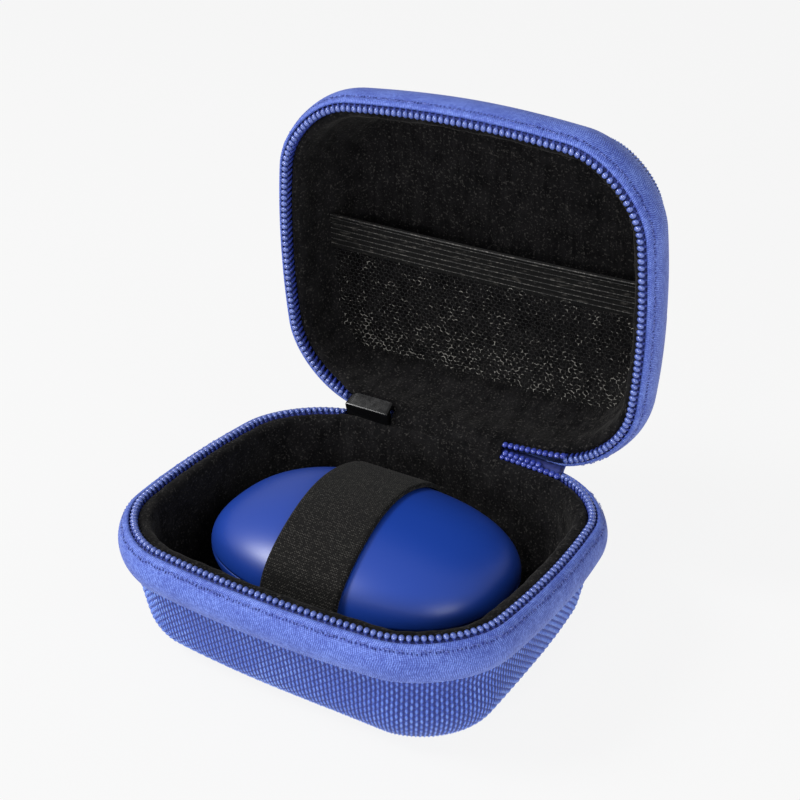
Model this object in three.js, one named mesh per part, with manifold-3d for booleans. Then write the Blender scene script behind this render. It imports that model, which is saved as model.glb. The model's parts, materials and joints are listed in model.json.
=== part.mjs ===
// Clamshell zip case for wireless earphones, with the charging case it carries.
// Millimetres, +Z up, +X to the right along the hinge, +Y to the rear (hinge side).
// The origin is the centre of the base's flat underside.
import * as THREE from "three";
import Module from "manifold-3d";
import { mergeVertices } from "three/addons/utils/BufferGeometryUtils.js";

// ---------- driving dimensions ----------
const HALF_X = 47.0; // teeth line, half width
const HALF_Y = 39.9; // teeth line, half depth
const CORNER_R = 16.0; // plan radius of the corners
const BOW = 3.7; // how far each side bows out at its middle
const BASE_H = 29.0; // parting plane above the underside
const LID_H = 26.5; // lid height above the parting plane
const BASE_DRAFT = 0.2; // inward taper of the walls, mm per mm
const LID_DRAFT = 0.4; // the lid tapers more
const FILLET_R = 9.0; // outside radius between wall and floor
const COVER_T = 0.6; // outer fabric
const CORE_T = 2.4; // moulded foam
const LINING_T = 0.6; // velour
const PLY_GAP = 0.25; // bond line between plies
const HINGE_IN = 1.0; // hinge line in front of the teeth line's rearmost point
const HINGE_UP = 0.5; // hinge line above the parting plane
const OPEN_DEG = 87; // how far the lid stands open at rest
const PARTING = BASE_H; // z of the parting plane
const HINGE_Y = HALF_Y - HINGE_IN;
const HINGE_Z = PARTING + HINGE_UP;
const STATIONS = 44; // stations round the rim
const SLIDER_X = -22.0; // slider's centre on the rear run of the chain
const SLIDER_LEN = 12.0;
const SLIDER_H = 7.2;
const SLIDER_TRAVEL = 6.0;
const WING_T = 1.1;
const PULL_LEN = 20.0;
const PULL_W = 6.4;
const PULL_HANG_DEG = 80; // below the horizontal, at rest
const STUB_X0 = 9.0; // engaged end of the chain
const STUB_X1 = 29.5;
const CASE_X = 72.0; // charging case, length
const CASE_Y = 51.0; // depth
const CASE_Z = 25.5; // height
const CASE_WALL = 1.6;
const CASE_MID_Z = BASE_H - 11.7;
const STRAP_W = 19.5;
const STRAP_T = 1.1;
const STRAP_X = 0.0;

// ---------- colours ----------
const BLUE_WEAVE = new THREE.Color(0.075, 0.125, 0.6);
const BLUE_TAPE = new THREE.Color(0.12, 0.17, 0.66);
const BLUE_TEETH = new THREE.Color(0.09, 0.15, 0.55);
const BLUE_CASE = new THREE.Color(0.012, 0.06, 0.4);
const BLACK_VELOUR = new THREE.Color(0.008, 0.008, 0.009);
const BLACK_ELASTIC = new THREE.Color(0.02, 0.02, 0.021);
const BLACK_METAL = new THREE.Color(0.01, 0.01, 0.011);
const GREY_FOAM = new THREE.Color(0.05, 0.05, 0.055);

const wasm = await Module();
wasm.setup();

// ---------- rim outline: rounded rectangle with bowed sides ----------
function rimOutline(count, turnWeight) {
  const ax = HALF_X - BOW;
  const ay = HALF_Y - BOW;
  const shape = new THREE.Shape();
  shape.moveTo(ax, 0);
  shape.lineTo(ax, ay - CORNER_R);
  shape.absarc(ax - CORNER_R, ay - CORNER_R, CORNER_R, 0, Math.PI / 2, false);
  shape.absarc(-(ax - CORNER_R), ay - CORNER_R, CORNER_R, Math.PI / 2, Math.PI, false);
  shape.absarc(-(ax - CORNER_R), -(ay - CORNER_R), CORNER_R, Math.PI, 1.5 * Math.PI, false);
  shape.absarc(ax - CORNER_R, -(ay - CORNER_R), CORNER_R, 1.5 * Math.PI, 2 * Math.PI, false);
  shape.lineTo(ax, 0);
  const bowed = (p) => {
    const u = p.x / ax;
    const v = p.y / ay;
    return new THREE.Vector2(p.x + BOW * u * (1 - v * v), p.y + BOW * v * (1 - u * u));
  };
  const fine = shape.getSpacedPoints(1440).slice(0, 1440).map(bowed);
  // Stations are spaced by arc length plus a share of the turning, so that the corners get more of them.
  const at = (k) => fine[(k + 1440) % 1440];
  const measure = [0];
  for (let k = 0; k < 1440; k++) {
    const u = at(k).clone().sub(at(k - 4));
    const v = at(k + 4).clone().sub(at(k));
    const turn = Math.abs(Math.atan2(u.cross(v), u.dot(v))) / 4;
    measure.push(measure[k] + at(k + 1).distanceTo(at(k)) + turnWeight * turn);
  }
  const out = [];
  let k = 0;
  for (let i = 0; i < count; i++) {
    const goal = (i * measure[1440]) / count;
    while (measure[k + 1] <= goal + 1e-9 && k < 1439) k++;
    const j = goal - measure[k] > measure[k + 1] - goal ? k + 1 : k;
    const t = at(j + 4).clone().sub(at(j - 4)).normalize();
    out.push({ p: at(j), n: new THREE.Vector2(t.y, -t.x) });
  }
  return out;
}
const RIM = rimOutline(STATIONS, 14);
const RIM_FINE = rimOutline(360, 0);

// A solid from a list of rings. Each ring is a list of Vector3 of one length.
function fromTriangles(points, faces) {
  const position = new Float32Array(points.length * 3);
  points.forEach((p, i) => p.toArray(position, i * 3));
  let volume = 0;
  for (const [a, b, c] of faces)
    volume += points[a].dot(points[b].clone().cross(points[c])) / 6;
  const index = [];
  for (const [a, b, c] of faces) volume > 0 ? index.push(a, b, c) : index.push(a, c, b);
  const g = new THREE.BufferGeometry();
  g.setAttribute("position", new THREE.BufferAttribute(position, 3));
  g.setIndex(index);
  return g;
}

// The flat cap of a section, its triangles running the same way round as the section does.
function capFaces(section) {
  const flat = section.map((q) => new THREE.Vector2(q[0], q[1]));
  const turn = Math.sign(THREE.ShapeUtils.area(flat));
  return THREE.ShapeUtils.triangulateShape(flat, []).map(([p, q, r]) =>
    Math.sign(THREE.ShapeUtils.area([flat[p], flat[q], flat[r]])) === turn ? [p, q, r] : [r, q, p],
  );
}

// A closed section (offset, depth) carried round a list of stations.
function sweepSection(section, stations, place, closed) {
  const m = section.length;
  const points = [];
  const faces = [];
  for (const s of stations) for (const q of section) points.push(place(s, q));
  const n = stations.length;
  const last = closed ? n : n - 1;
  for (let i = 0; i < last; i++)
    for (let j = 0; j < m; j++) {
      const a = i * m + j;
      const b = i * m + ((j + 1) % m);
      const c = ((i + 1) % n) * m + ((j + 1) % m);
      const d = ((i + 1) % n) * m + j;
      faces.push([a, b, c], [a, c, d]);
    }
  if (!closed) {
    const end = (n - 1) * m;
    for (const [p, q, r] of capFaces(section)) faces.push([r, q, p], [end + p, end + q, end + r]);
  }
  return fromTriangles(points, faces);
}

// A bowl: an open profile carried all the way round, its two ends closed by flat fans at the centre.
function bowl(profile, place) {
  const m = profile.length;
  const n = RIM.length;
  const points = [];
  const faces = [];
  for (const s of RIM) for (const q of profile) points.push(place(s, q));
  const c0 = points.length;
  const middle = { p: new THREE.Vector2(0, 0), n: new THREE.Vector2(0, 0) };
  points.push(place(middle, profile[0]), place(middle, profile[m - 1]));
  for (let i = 0; i < n; i++) {
    const k = (i + 1) % n;
    for (let j = 0; j < m - 1; j++) {
      const a = i * m + j;
      const b = i * m + j + 1;
      const c = k * m + j + 1;
      const d = k * m + j;
      faces.push([a, b, c], [a, c, d]);
    }
    faces.push([c0, i * m, k * m]);
    faces.push([c0 + 1, k * m + m - 1, i * m + m - 1]);
  }
  return fromTriangles(points, faces);
}

// Wall line and fillet at an inward ply offset t, for a shell of height h.
function wall(h, draft, t, from, steps) {
  const hc = h - FILLET_R;
  const lineO = (d) => -0.5 - draft * (d - 11.5);
  const a = Math.atan(draft);
  const oc = lineO(hc) - FILLET_R / Math.cos(a);
  const out = [];
  out.push([lineO(from) - t / Math.cos(a), from]);
  for (let i = 0; i <= steps; i++) {
    const w = a + ((Math.PI / 2 - a) * i) / steps;
    out.push([oc + (FILLET_R - t) * Math.cos(w), hc + (FILLET_R - t) * Math.sin(w)]);
  }
  return out;
}

// ---------- sections of one half, as [outward offset, depth from the parting plane] ----------
const T1 = COVER_T;
const T2 = T1 + PLY_GAP;
const T3 = T2 + CORE_T;
const T4 = T3 + PLY_GAP;
const T5 = T4 + LINING_T;
const baseTape = [
  [0.6, 0.9], [1.3, 0.9], [2.6, 3.4], [3.0, 5.5], [2.4, 8.6], [0.4, 11.75],
  [-0.25, 11.5], [1.5, 8.5], [2.25, 5.5], [1.9, 3.8], [0.6, 1.5],
];
const lidTape = [
  [0.6, 0.9], [1.2, 0.9], [2.0, 3.4], [2.2, 5.5], [1.75, 8.6], [0.35, 11.75],
  [-0.25, 11.4], [1.0, 8.4], [1.5, 5.5], [1.3, 3.8], [0.6, 1.5],
];
const teethSection = [
  [-1.3, 0.15], [0.3, 0.15], [0.3, 3.0], [-1.3, 3.0],
];
const coverProfile = (h, draft) => [
  ...wall(h, draft, 0, 11.5, 3).reverse(),
  [-0.15, 9.95], [-0.72, 9.95],
  ...wall(h, draft, T1, 11.5, 3),
];
const coreProfile = (h, draft, swell) => [
  ...wall(h, draft, T2, 11.5, 3).reverse(),
  [-1.0, 9.6], [0.6 * swell - 0.3, 9.5], [1.5 * swell - 0.3, 8.2], [2.25 * swell - 0.3, 5.5], [1.9 * swell - 0.3, 4.2], [-0.8, 4.2], [-2.2, 5.0],
  ...wall(h, draft, T3, 8.5, 3),
];
const liningProfile = (h, draft) => [
  ...wall(h, draft, T4, 8.5, 3).reverse(),
  [-2.45, 4.75], [-0.9, 3.92], [0.2, 3.92], [0.2, 3.32], [-1.05, 3.32], [-2.9, 4.3],
  ...wall(h, draft, T5, 8.5, 3),
];
const inBase = (s, [o, d]) =>
  new THREE.Vector3(s.p.x + s.n.x * o, s.p.y + s.n.y * o, PARTING - d);
const inLid = (s, [o, d]) =>
  new THREE.Vector3(s.p.x + s.n.x * o, s.p.y + s.n.y * o - HINGE_Y, d - HINGE_UP);

// ---------- booleans ----------
function toSolid(geometry) {
  const g = geometry.clone();
  for (const key of ["normal", "uv"]) if (g.getAttribute(key)) g.deleteAttribute(key);
  const merged = mergeVertices(g, 1e-3);
  return new wasm.Manifold(
    new wasm.Mesh({
      numProp: 3,
      vertProperties: new Float32Array(merged.attributes.position.array),
      triVerts: new Uint32Array(merged.index.array),
    }),
  );
}
function fromSolid(solid) {
  const mesh = solid.getMesh();
  const g = new THREE.BufferGeometry();
  g.setAttribute("position", new THREE.BufferAttribute(new Float32Array(mesh.vertProperties), 3));
  g.setIndex(Array.from(mesh.triVerts));
  return g;
}
const box = (x0, x1, y0, y1, z0, z1) =>
  new THREE.BoxGeometry(x1 - x0, y1 - y0, z1 - z0).translate((x0 + x1) / 2, (y0 + y1) / 2, (z0 + z1) / 2);
const rodX = (x0, x1, y, z, r, sides) =>
  new THREE.CylinderGeometry(r, r, x1 - x0, sides).rotateZ(Math.PI / 2).translate((x0 + x1) / 2, y, z);
const cut = (a, ...tools) => {
  let s = toSolid(a);
  for (const t of tools) s = s.subtract(toSolid(t));
  return fromSolid(s);
};
const join = (a, ...more) => {
  let s = toSolid(a);
  for (const t of more) s = s.add(toSolid(t));
  return fromSolid(s);
};

// ---------- scene ----------
const group = new THREE.Group();
const base = new THREE.Group();
const lid = new THREE.Group();
lid.position.set(0, HINGE_Y, HINGE_Z);
lid.rotation.x = -THREE.MathUtils.degToRad(OPEN_DEG);
group.add(base, lid);
const add = (parent, name, geometry, color, roughness, metalness = 0) => {
  geometry.computeVertexNormals();
  const mesh = new THREE.Mesh(geometry, new THREE.MeshStandardMaterial({ color, roughness, metalness }));
  mesh.name = name;
  parent.add(mesh);
  return mesh;
};

// Room for the slider: a straight notch in the base, and a round one about the hinge line in the lid,
// so that the lid can swing past the slider.
const NOTCH_X0 = SLIDER_X - SLIDER_LEN / 2 - SLIDER_TRAVEL - 1.2;
const NOTCH_X1 = SLIDER_X + SLIDER_LEN / 2 + 0.8;
const baseNotch = [box(NOTCH_X0, NOTCH_X1, HALF_Y - 8.5, HALF_Y + 8, PARTING - 3.95, PARTING + 2)];
const rearHalf = (r) =>
  fromSolid(toSolid(rodX(NOTCH_X0, NOTCH_X1, 0, 0, r, 24)).intersect(toSolid(box(NOTCH_X0 - 1, NOTCH_X1 + 1, 0.3, 20, -20, 20))));
const lidNotch = [rodX(NOTCH_X0, NOTCH_X1, 0, 0, 6.6, 20), rearHalf(9.3)];
// Behind the hinge line both rims are cut back to a slope, so that the halves never meet as the lid swings.
const slope = (y, z, up) => {
  const s = new THREE.Shape();
  for (const [i, [v, w]] of [[-0.1, -1.4], [9, -1.4], [9, 7.4], [5.7, 7.4], [-0.1, 0.2]].entries()) s[i ? "lineTo" : "moveTo"](v, w * up);
  return new THREE.ExtrudeGeometry(s, { depth: 74, bevelEnabled: false })
    .applyMatrix4(new THREE.Matrix4().makeBasis(new THREE.Vector3(0, 1, 0), new THREE.Vector3(0, 0, 1), new THREE.Vector3(1, 0, 0)))
    .translate(-37, y, z);
};
const baseSlope = slope(HINGE_Y, HINGE_Z, -1);
const lidSlope = slope(0, 0, 1);

for (const [half, name, h, draft, swell, tape, place, notch, rear] of [
  [base, "base", BASE_H, BASE_DRAFT, 1, baseTape, inBase, baseNotch, baseSlope],
  [lid, "lid", LID_H, LID_DRAFT, 0.667, lidTape, inLid, lidNotch, lidSlope],
]) {
  add(half, name + "_outer_cover", bowl(coverProfile(h, draft), place), BLUE_WEAVE, 0.7);
  add(half, name + "_foam_core", cut(bowl(coreProfile(h, draft, swell), place), ...notch, rear), GREY_FOAM, 0.9);
  add(half, name + "_lining", cut(bowl(liningProfile(h, draft), place), ...notch, rear), BLACK_VELOUR, 0.95);
  add(half, name + "_zipper_tape", cut(sweepSection(tape, RIM, place, true), ...notch, rear), BLUE_TAPE, 0.65);
  // The teeth run from the slider's notch, round the left, front and right, to the engaged end of the chain.
  const run = RIM_FINE.map((s, i) => ({ s, i }));
  const rearLeft = run.findIndex(({ s }) => s.p.y > 0 && s.p.x <= NOTCH_X0 - 0.3);
  let rearRight = run.findIndex(({ s }) => s.p.y > 0 && s.p.x <= STUB_X1 + 0.6);
  rearRight -= 1;
  const path = [];
  for (let i = rearLeft; i <= rearRight + 360; i += 6) path.push(RIM_FINE[i % 360]);
  add(half, name + "_zipper_teeth", sweepSection(teethSection, path, place, false), BLUE_TEETH, 0.35);
}

// ---------- hinge soft parts, drawn in the open pose ----------
// Positions here are [rearward, up] from the hinge line, at the lid's resting angle.
const openRad = THREE.MathUtils.degToRad(OPEN_DEG);
const lidSide = ([v, w]) => [v * Math.cos(openRad) + w * Math.sin(openRad), -v * Math.sin(openRad) + w * Math.cos(openRad)];
const strip = (x0, x1, steps, sectionAt) => {
  const stations = [];
  for (let i = 0; i <= steps; i++) stations.push(x0 + ((x1 - x0) * i) / steps);
  const sections = stations.map(sectionAt);
  const m = sections[0].length;
  const points = [];
  const faces = [];
  sections.forEach((section, i) => section.forEach(([v, w]) => points.push(new THREE.Vector3(stations[i], HINGE_Y + v, HINGE_Z + w))));
  for (let i = 0; i < steps; i++)
    for (let j = 0; j < m; j++) {
      const a = i * m + j;
      const b = i * m + ((j + 1) % m);
      faces.push([a, b, b + m], [a, b + m, a + m]);
    }
  const end = steps * m;
  for (const [p, q, r] of capFaces(sections[0])) faces.push([r, q, p], [end + p, end + q, end + r]);
  return fromTriangles(points, faces);
};
// How far the rim has come forward of its middle at a given x, on the rear run.
const rearDrop = (x) => {
  let best = RIM_FINE[0];
  for (const s of RIM_FINE) if (s.p.y > 0 && Math.abs(s.p.x - x) < Math.abs(best.p.x - x) + (best.p.y > 0 ? 0 : 1e9)) best = s;
  return HALF_Y - best.p.y;
};
const thick = (line, t) => {
  const n = line.length;
  const normal = (i) => {
    const a = line[Math.max(0, i - 1)];
    const b = line[Math.min(n - 1, i + 1)];
    const l = Math.hypot(b[0] - a[0], b[1] - a[1]);
    return [-(b[1] - a[1]) / l, (b[0] - a[0]) / l];
  };
  const side = line.map((p, i) => [p[0] + normal(i)[0] * t, p[1] + normal(i)[1] * t]);
  return [...line, ...side.reverse()];
};
// A point of either half, given as [outward offset, depth] like the sections above.
const onBase = ([o, d], drop) => [o + HINGE_IN - drop, -d - HINGE_UP];
const onLid = ([o, d], drop) => lidSide([o + HINGE_IN - drop, d - HINGE_UP]);
// Outer panel: it hugs both rear bands and bridges the crease between them.
const outerPanel = (x) => {
  const d = rearDrop(x);
  const basePart = [[3.5, 6.6], [3.45, 4.9]].map((q) => onBase(q, d));
  const lidPart = [[2.65, 5.0], [2.6, 6.8]].map((q) => onLid(q, d));
  return thick([...basePart, [4.25 - 0.75 * d, -3.85 + 0.3 * d], ...lidPart], -0.45);
};
add(base, "hinge_outer_panel", strip(NOTCH_X1 + 0.6, 27, 7, outerPanel), BLUE_TAPE, 0.65);
// Inner lining: a saddle in front of the zip, from the base lining's rim to the lid lining's rim.
const saddle = (x) => {
  const d = rearDrop(x);
  const side = [[-5.4, 8.0], [-4.7, 5.6], [-3.8, 3.9], [-2.6, 2.4]];
  const basePart = side.map((q) => onBase(q, d));
  const lidPart = side.map((q) => onLid(q, d)).reverse();
  return thick([...basePart, [-0.95 - 0.7 * d, 0.5 + 0.7 * d], ...lidPart], -0.7);
};
add(base, "hinge_inner_lining", strip(NOTCH_X1 + 0.6, STUB_X0 - 0.5, 4, saddle), BLACK_VELOUR, 0.95);

// Engaged end of the chain: both rows of teeth held together, square cut, folded over the hinge line.
const engaged = (x) => {
  const d = rearDrop(x);
  return [
    [-0.5 - d, -3.3], [-0.5 - d, 0.5 + d], [2.45, 0.5 + d], [2.45, -0.8 + d], [0.8 - d, -0.8 + d], [0.8 - d, -3.3],
  ];
};
add(base, "chain_end_section", strip(STUB_X0, STUB_X1, 3, engaged), BLUE_TEETH, 0.4);

// ---------- slider ----------
{
  const drop = rearDrop(SLIDER_X);
  const yc = HALF_Y - drop;
  const wing = () => {
    const s = new THREE.Shape();
    const l = SLIDER_LEN / 2;
    const h = SLIDER_H / 2;
    // Wide, rounded nose to the left where the rows part, narrower tail to the right.
    s.moveTo(-l + 3.0, -h);
    s.lineTo(l - 1.0, -h + 0.9);
    s.quadraticCurveTo(l, -h + 0.9, l, -h + 1.9);
    s.lineTo(l, h - 1.9);
    s.quadraticCurveTo(l, h - 0.9, l - 1.0, h - 0.9);
    s.lineTo(-l + 3.0, h);
    s.quadraticCurveTo(-l, h - 0.3, -l, 0);
    s.quadraticCurveTo(-l, -h + 0.3, -l + 3.0, -h);
    // Extruded along +Z, then turned so that the wing stands in the XZ plane.
    return new THREE.ExtrudeGeometry(s, { depth: WING_T, bevelEnabled: false, curveSegments: 4 }).rotateX(Math.PI / 2);
  };
  const slider = new THREE.Group();
  slider.position.set(SLIDER_X, yc, PARTING);
  const inner = wing().translate(0, -1.65, 0); // occupies y -2.75..-1.65
  const outer = wing().translate(0, 2.65, 0); // occupies y 1.55..2.65
  const post = new THREE.CylinderGeometry(1.0, 1.0, 3.6, 12).translate(-3.6, 0, 0);
  const postGeo = post.clone().scale(1.25, 1, 0.8);
  add(slider, "slider_body", join(inner, postGeo, outer), BLACK_METAL, 0.22, 0.6);
  // Staple on the outer wing, its bar along X.
  const by = 4.75;
  const bar = rodX(-2.4, 2.4, by, 0, 0.55, 10);
  const legL = box(-2.4, -1.5, 2.95, by, -0.55, 0.55);
  const legR = box(1.5, 2.4, 2.95, by, -0.55, 0.55);
  add(slider, "slider_bail", join(bar, legL, legR), BLACK_METAL, 0.25, 0.6);
  // Pull: an eye round the bar, a neck and a flat tab, all in one.
  const pull = new THREE.Group();
  pull.position.set(0, by, 0);
  pull.rotation.x = -THREE.MathUtils.degToRad(PULL_HANG_DEG);
  const eyeShape = new THREE.Shape();
  eyeShape.absarc(0, 0, 1.55, 0, 2 * Math.PI, false);
  const hole = new THREE.Path();
  hole.absarc(0, 0, 0.85, 0, 2 * Math.PI, true);
  eyeShape.holes.push(hole);
  const eye = new THREE.ExtrudeGeometry(eyeShape, { depth: 2.4, bevelEnabled: false, curveSegments: 8 })
    .rotateY(Math.PI / 2)
    .translate(-1.2, 0, 0);
  const tabShape = new THREE.Shape();
  const w = PULL_W / 2;
  tabShape.moveTo(-1.2, 1.3);
  tabShape.lineTo(1.2, 1.3);
  tabShape.lineTo(1.6, 3.4);
  tabShape.quadraticCurveTo(w, 4.2, w, 6.5);
  tabShape.lineTo(w, PULL_LEN - 2.2);
  tabShape.quadraticCurveTo(w, PULL_LEN, w - 2.2, PULL_LEN);
  tabShape.lineTo(-w + 2.2, PULL_LEN);
  tabShape.quadraticCurveTo(-w, PULL_LEN, -w, PULL_LEN - 2.2);
  tabShape.lineTo(-w, 6.5);
  tabShape.quadraticCurveTo(-w, 4.2, -1.6, 3.4);
  tabShape.closePath();
  const tab = new THREE.ExtrudeGeometry(tabShape, { depth: 1.3, bevelEnabled: false, curveSegments: 5 }).translate(0, 0, -0.65);
  add(pull, "pull_tab", join(eye, tab), BLACK_METAL, 0.35, 0.1);
  slider.add(pull);
  base.add(slider);
}

// ---------- charging case: a pebble, split just below its widest line ----------
const PLAN_N = 2.4;
const SIDE_N = 2.1;
const power = (w, n) => Math.sign(w) * Math.pow(Math.abs(w), 2 / n);
const pebblePoint = (inset, around, up) => {
  const rx = CASE_X / 2 - inset;
  const ry = CASE_Y / 2 - inset;
  const rz = CASE_Z / 2 - inset;
  const c = power(Math.cos(up), SIDE_N);
  return new THREE.Vector3(
    rx * c * power(Math.cos(around), PLAN_N),
    ry * c * power(Math.sin(around), PLAN_N),
    CASE_MID_Z + rz * power(Math.sin(up), SIDE_N),
  );
};
function pebbleShell(sign, seamLift) {
  const N = 40;
  const M = 8;
  const start = sign > 0 ? Math.asin(Math.pow(Math.abs(seamLift) / (CASE_Z / 2), SIDE_N / 2)) * Math.sign(seamLift) : 0;
  const rings = [];
  const at = (inset, k) => {
    const up = start + (sign * Math.PI / 2 - start) * (k / M);
    const ring = [];
    for (let i = 0; i < N; i++) ring.push(pebblePoint(inset, (2 * Math.PI * i) / N, up));
    return ring;
  };
  for (let k = M - 1; k >= 0; k--) rings.push(at(0, k));
  for (let k = 0; k < M; k++) rings.push(at(CASE_WALL, k));
  const points = rings.flat();
  const poleOut = points.length;
  points.push(new THREE.Vector3(0, 0, CASE_MID_Z + (sign * CASE_Z) / 2));
  points.push(new THREE.Vector3(0, 0, CASE_MID_Z + sign * (CASE_Z / 2 - CASE_WALL)));
  const faces = [];
  const R = rings.length;
  for (let i = 0; i < N; i++) {
    const k = (i + 1) % N;
    faces.push([poleOut, i, k]);
    for (let r = 0; r < R - 1; r++) faces.push([r * N + i, (r + 1) * N + i, (r + 1) * N + k], [r * N + i, (r + 1) * N + k, r * N + k]);
    faces.push([poleOut + 1, (R - 1) * N + k, (R - 1) * N + i]);
  }
  return fromTriangles(points, faces);
}
const contents = new THREE.Group();
add(contents, "charging_case_upper_shell", pebbleShell(1, 0.3), BLUE_CASE, 0.38);
add(contents, "charging_case_lower_shell", pebbleShell(-1, 0), BLUE_CASE, 0.38);
base.add(contents);

// ---------- elastic strap, front to back over the charging case ----------
{
  const FLOOR_Z = T5; // top of the base lining's floor
  const line = [];
  const clear = 0.35;
  const ry = CASE_Y / 2 + clear;
  const rz = CASE_Z / 2 + clear;
  line.push([-27.5, FLOOR_Z + 0.4], [-27.4, FLOOR_Z + 4.5]);
  for (let i = 0; i <= 16; i++) {
    const w = Math.PI - (-0.25) - ((Math.PI + 0.5) * i) / 16;
    line.push([ry * power(Math.cos(w), SIDE_N), CASE_MID_Z + rz * power(Math.sin(w), SIDE_N)]);
  }
  line.push([27.4, FLOOR_Z + 4.5], [27.5, FLOOR_Z + 0.4]);
  const section = thick(line, STRAP_T);
  const g = new THREE.ExtrudeGeometry(new THREE.Shape(section.map(([y, z]) => new THREE.Vector2(y, z))), {
    depth: STRAP_W,
    bevelEnabled: false,
  });
  // Shape x becomes Y and shape y becomes Z; the extrusion runs along X.
  g.applyMatrix4(new THREE.Matrix4().makeBasis(new THREE.Vector3(0, 1, 0), new THREE.Vector3(0, 0, 1), new THREE.Vector3(1, 0, 0)));
  g.translate(STRAP_X - STRAP_W / 2, 0, 0);
  add(base, "elastic_strap", g, BLACK_ELASTIC, 0.85);
  // Bar tacks that sew the strap's two ends to the lining, just above the floor.
  for (const [name, y] of [["strap_front_tack", -29.45], ["strap_rear_tack", 28.95]])
    add(base, name, box(STRAP_X - 8.4, STRAP_X + 8.4, y, y + 0.5, FLOOR_Z + 1.3, FLOOR_Z + 3.1), BLACK_ELASTIC, 0.7);
}

// ---------- net pocket in the lid (lid's closed frame: y from the hinge line, z up from the parting plane) ----------
{
  const pocketZ = 13.0; // the pocket spans the lid from wall to wall, clear of its roof
  const y0 = -HINGE_Y - 5.0; // mouth side
  const y1 = -HINGE_Y + 29.5; // hinge side
  const halfAt = (y) => {
    // inside half width of the lining at this y and at the pocket's depth
    const yy = y + HINGE_Y;
    let best = 0;
    for (const s of RIM_FINE) {
      const q = inLid(s, [-6.4, 0]);
      if (Math.abs(q.y + HINGE_Y - yy) < 1.2 && q.x > best) best = q.x;
    }
    return best;
  };
  const outlineShape = (ya, yb, inset) => {
    const s = new THREE.Shape();
    const steps = 8;
    const pts = [];
    for (let i = 0; i <= steps; i++) {
      const y = ya + ((yb - ya) * i) / steps;
      pts.push([halfAt(y) - inset, y]);
    }
    // Points in line with their neighbours are left out, so that the caps and the sides share every vertex.
    const bent = pts.filter(([x, y], i) => {
      if (i === 0 || i === steps) return true;
      const [a, b] = [pts[i - 1], pts[i + 1]];
      return Math.abs((x - a[0]) * (b[1] - a[1]) - (y - a[1]) * (b[0] - a[0])) > 0.02;
    });
    s.moveTo(bent[0][0], bent[0][1]);
    for (const [x, y] of bent.slice(1)) s.lineTo(x, y);
    for (const [x, y] of bent.reverse()) s.lineTo(-x, y);
    return s;
  };
  const bandW = 8.5;
  const net = new THREE.ExtrudeGeometry(outlineShape(y0 + bandW + 0.3, y1 - 0.5, 1.4), { depth: 0.8, bevelEnabled: false }).translate(0, 0, pocketZ);
  add(lid, "pocket_mesh", net, BLACK_ELASTIC, 0.8);
  const band = new THREE.ExtrudeGeometry(outlineShape(y0, y0 + bandW, 0.6), { depth: 1.3, bevelEnabled: false }).translate(0, 0, pocketZ - 0.25);
  add(lid, "pocket_elastic_band", band, BLACK_ELASTIC, 0.8);
}

export default group;
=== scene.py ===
"""Zip clamshell case for wireless earphones, standing open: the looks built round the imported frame.
Lengths in the functions below are millimetres; a mesh is written out in metres."""

import json
import math

import bmesh
import bpy
import numpy as np
from mathutils import Matrix, Vector


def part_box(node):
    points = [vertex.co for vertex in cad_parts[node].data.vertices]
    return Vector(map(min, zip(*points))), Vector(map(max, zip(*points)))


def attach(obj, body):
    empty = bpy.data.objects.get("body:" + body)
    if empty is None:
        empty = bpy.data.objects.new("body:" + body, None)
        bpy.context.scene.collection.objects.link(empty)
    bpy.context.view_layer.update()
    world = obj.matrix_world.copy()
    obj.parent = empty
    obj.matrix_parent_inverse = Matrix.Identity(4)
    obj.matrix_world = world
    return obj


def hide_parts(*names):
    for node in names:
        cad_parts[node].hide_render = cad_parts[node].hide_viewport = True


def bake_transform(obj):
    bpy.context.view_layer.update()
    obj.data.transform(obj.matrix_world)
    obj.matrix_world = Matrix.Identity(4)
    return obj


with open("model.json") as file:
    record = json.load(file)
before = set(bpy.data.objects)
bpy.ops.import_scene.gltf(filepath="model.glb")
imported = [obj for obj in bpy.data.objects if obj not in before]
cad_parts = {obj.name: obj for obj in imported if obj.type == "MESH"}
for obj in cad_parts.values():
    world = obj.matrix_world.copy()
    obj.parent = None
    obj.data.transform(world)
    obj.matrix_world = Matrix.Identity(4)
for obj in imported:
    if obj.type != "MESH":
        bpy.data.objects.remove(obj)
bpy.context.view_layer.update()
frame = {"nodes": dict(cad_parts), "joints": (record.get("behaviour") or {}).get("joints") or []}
RNG = np.random.default_rng(20417)

# ------------------------------------------------------------------ sizes, from the frame
joint = {j["name"]: j for j in frame["joints"]}
HINGE_Y = joint["lid_hinge"]["pos_m"][1] * 1000
HINGE_Z = joint["lid_hinge"]["pos_m"][2] * 1000
OPEN = math.radians(-joint["lid_hinge"]["range_deg"][0])
t_lo, t_hi = [v * 1000 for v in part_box("base_zipper_teeth")]
PARTING = round(t_hi.z + 0.15, 3)
HALF_X = round((t_hi.x - t_lo.x) / 2 - 0.3, 2)
HALF_Y = round(-t_lo.y - 0.3, 2)
BASE_H = PARTING
LID_H = 26.5
CORNER_R, BOW, FILLET_R = 16.0, 3.7, 9.0
BASE_DRAFT, LID_DRAFT = 0.2, 0.4
T5 = 4.1
UP = HINGE_Z - PARTING
CO, SO = math.cos(OPEN), math.sin(OPEN)


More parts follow.
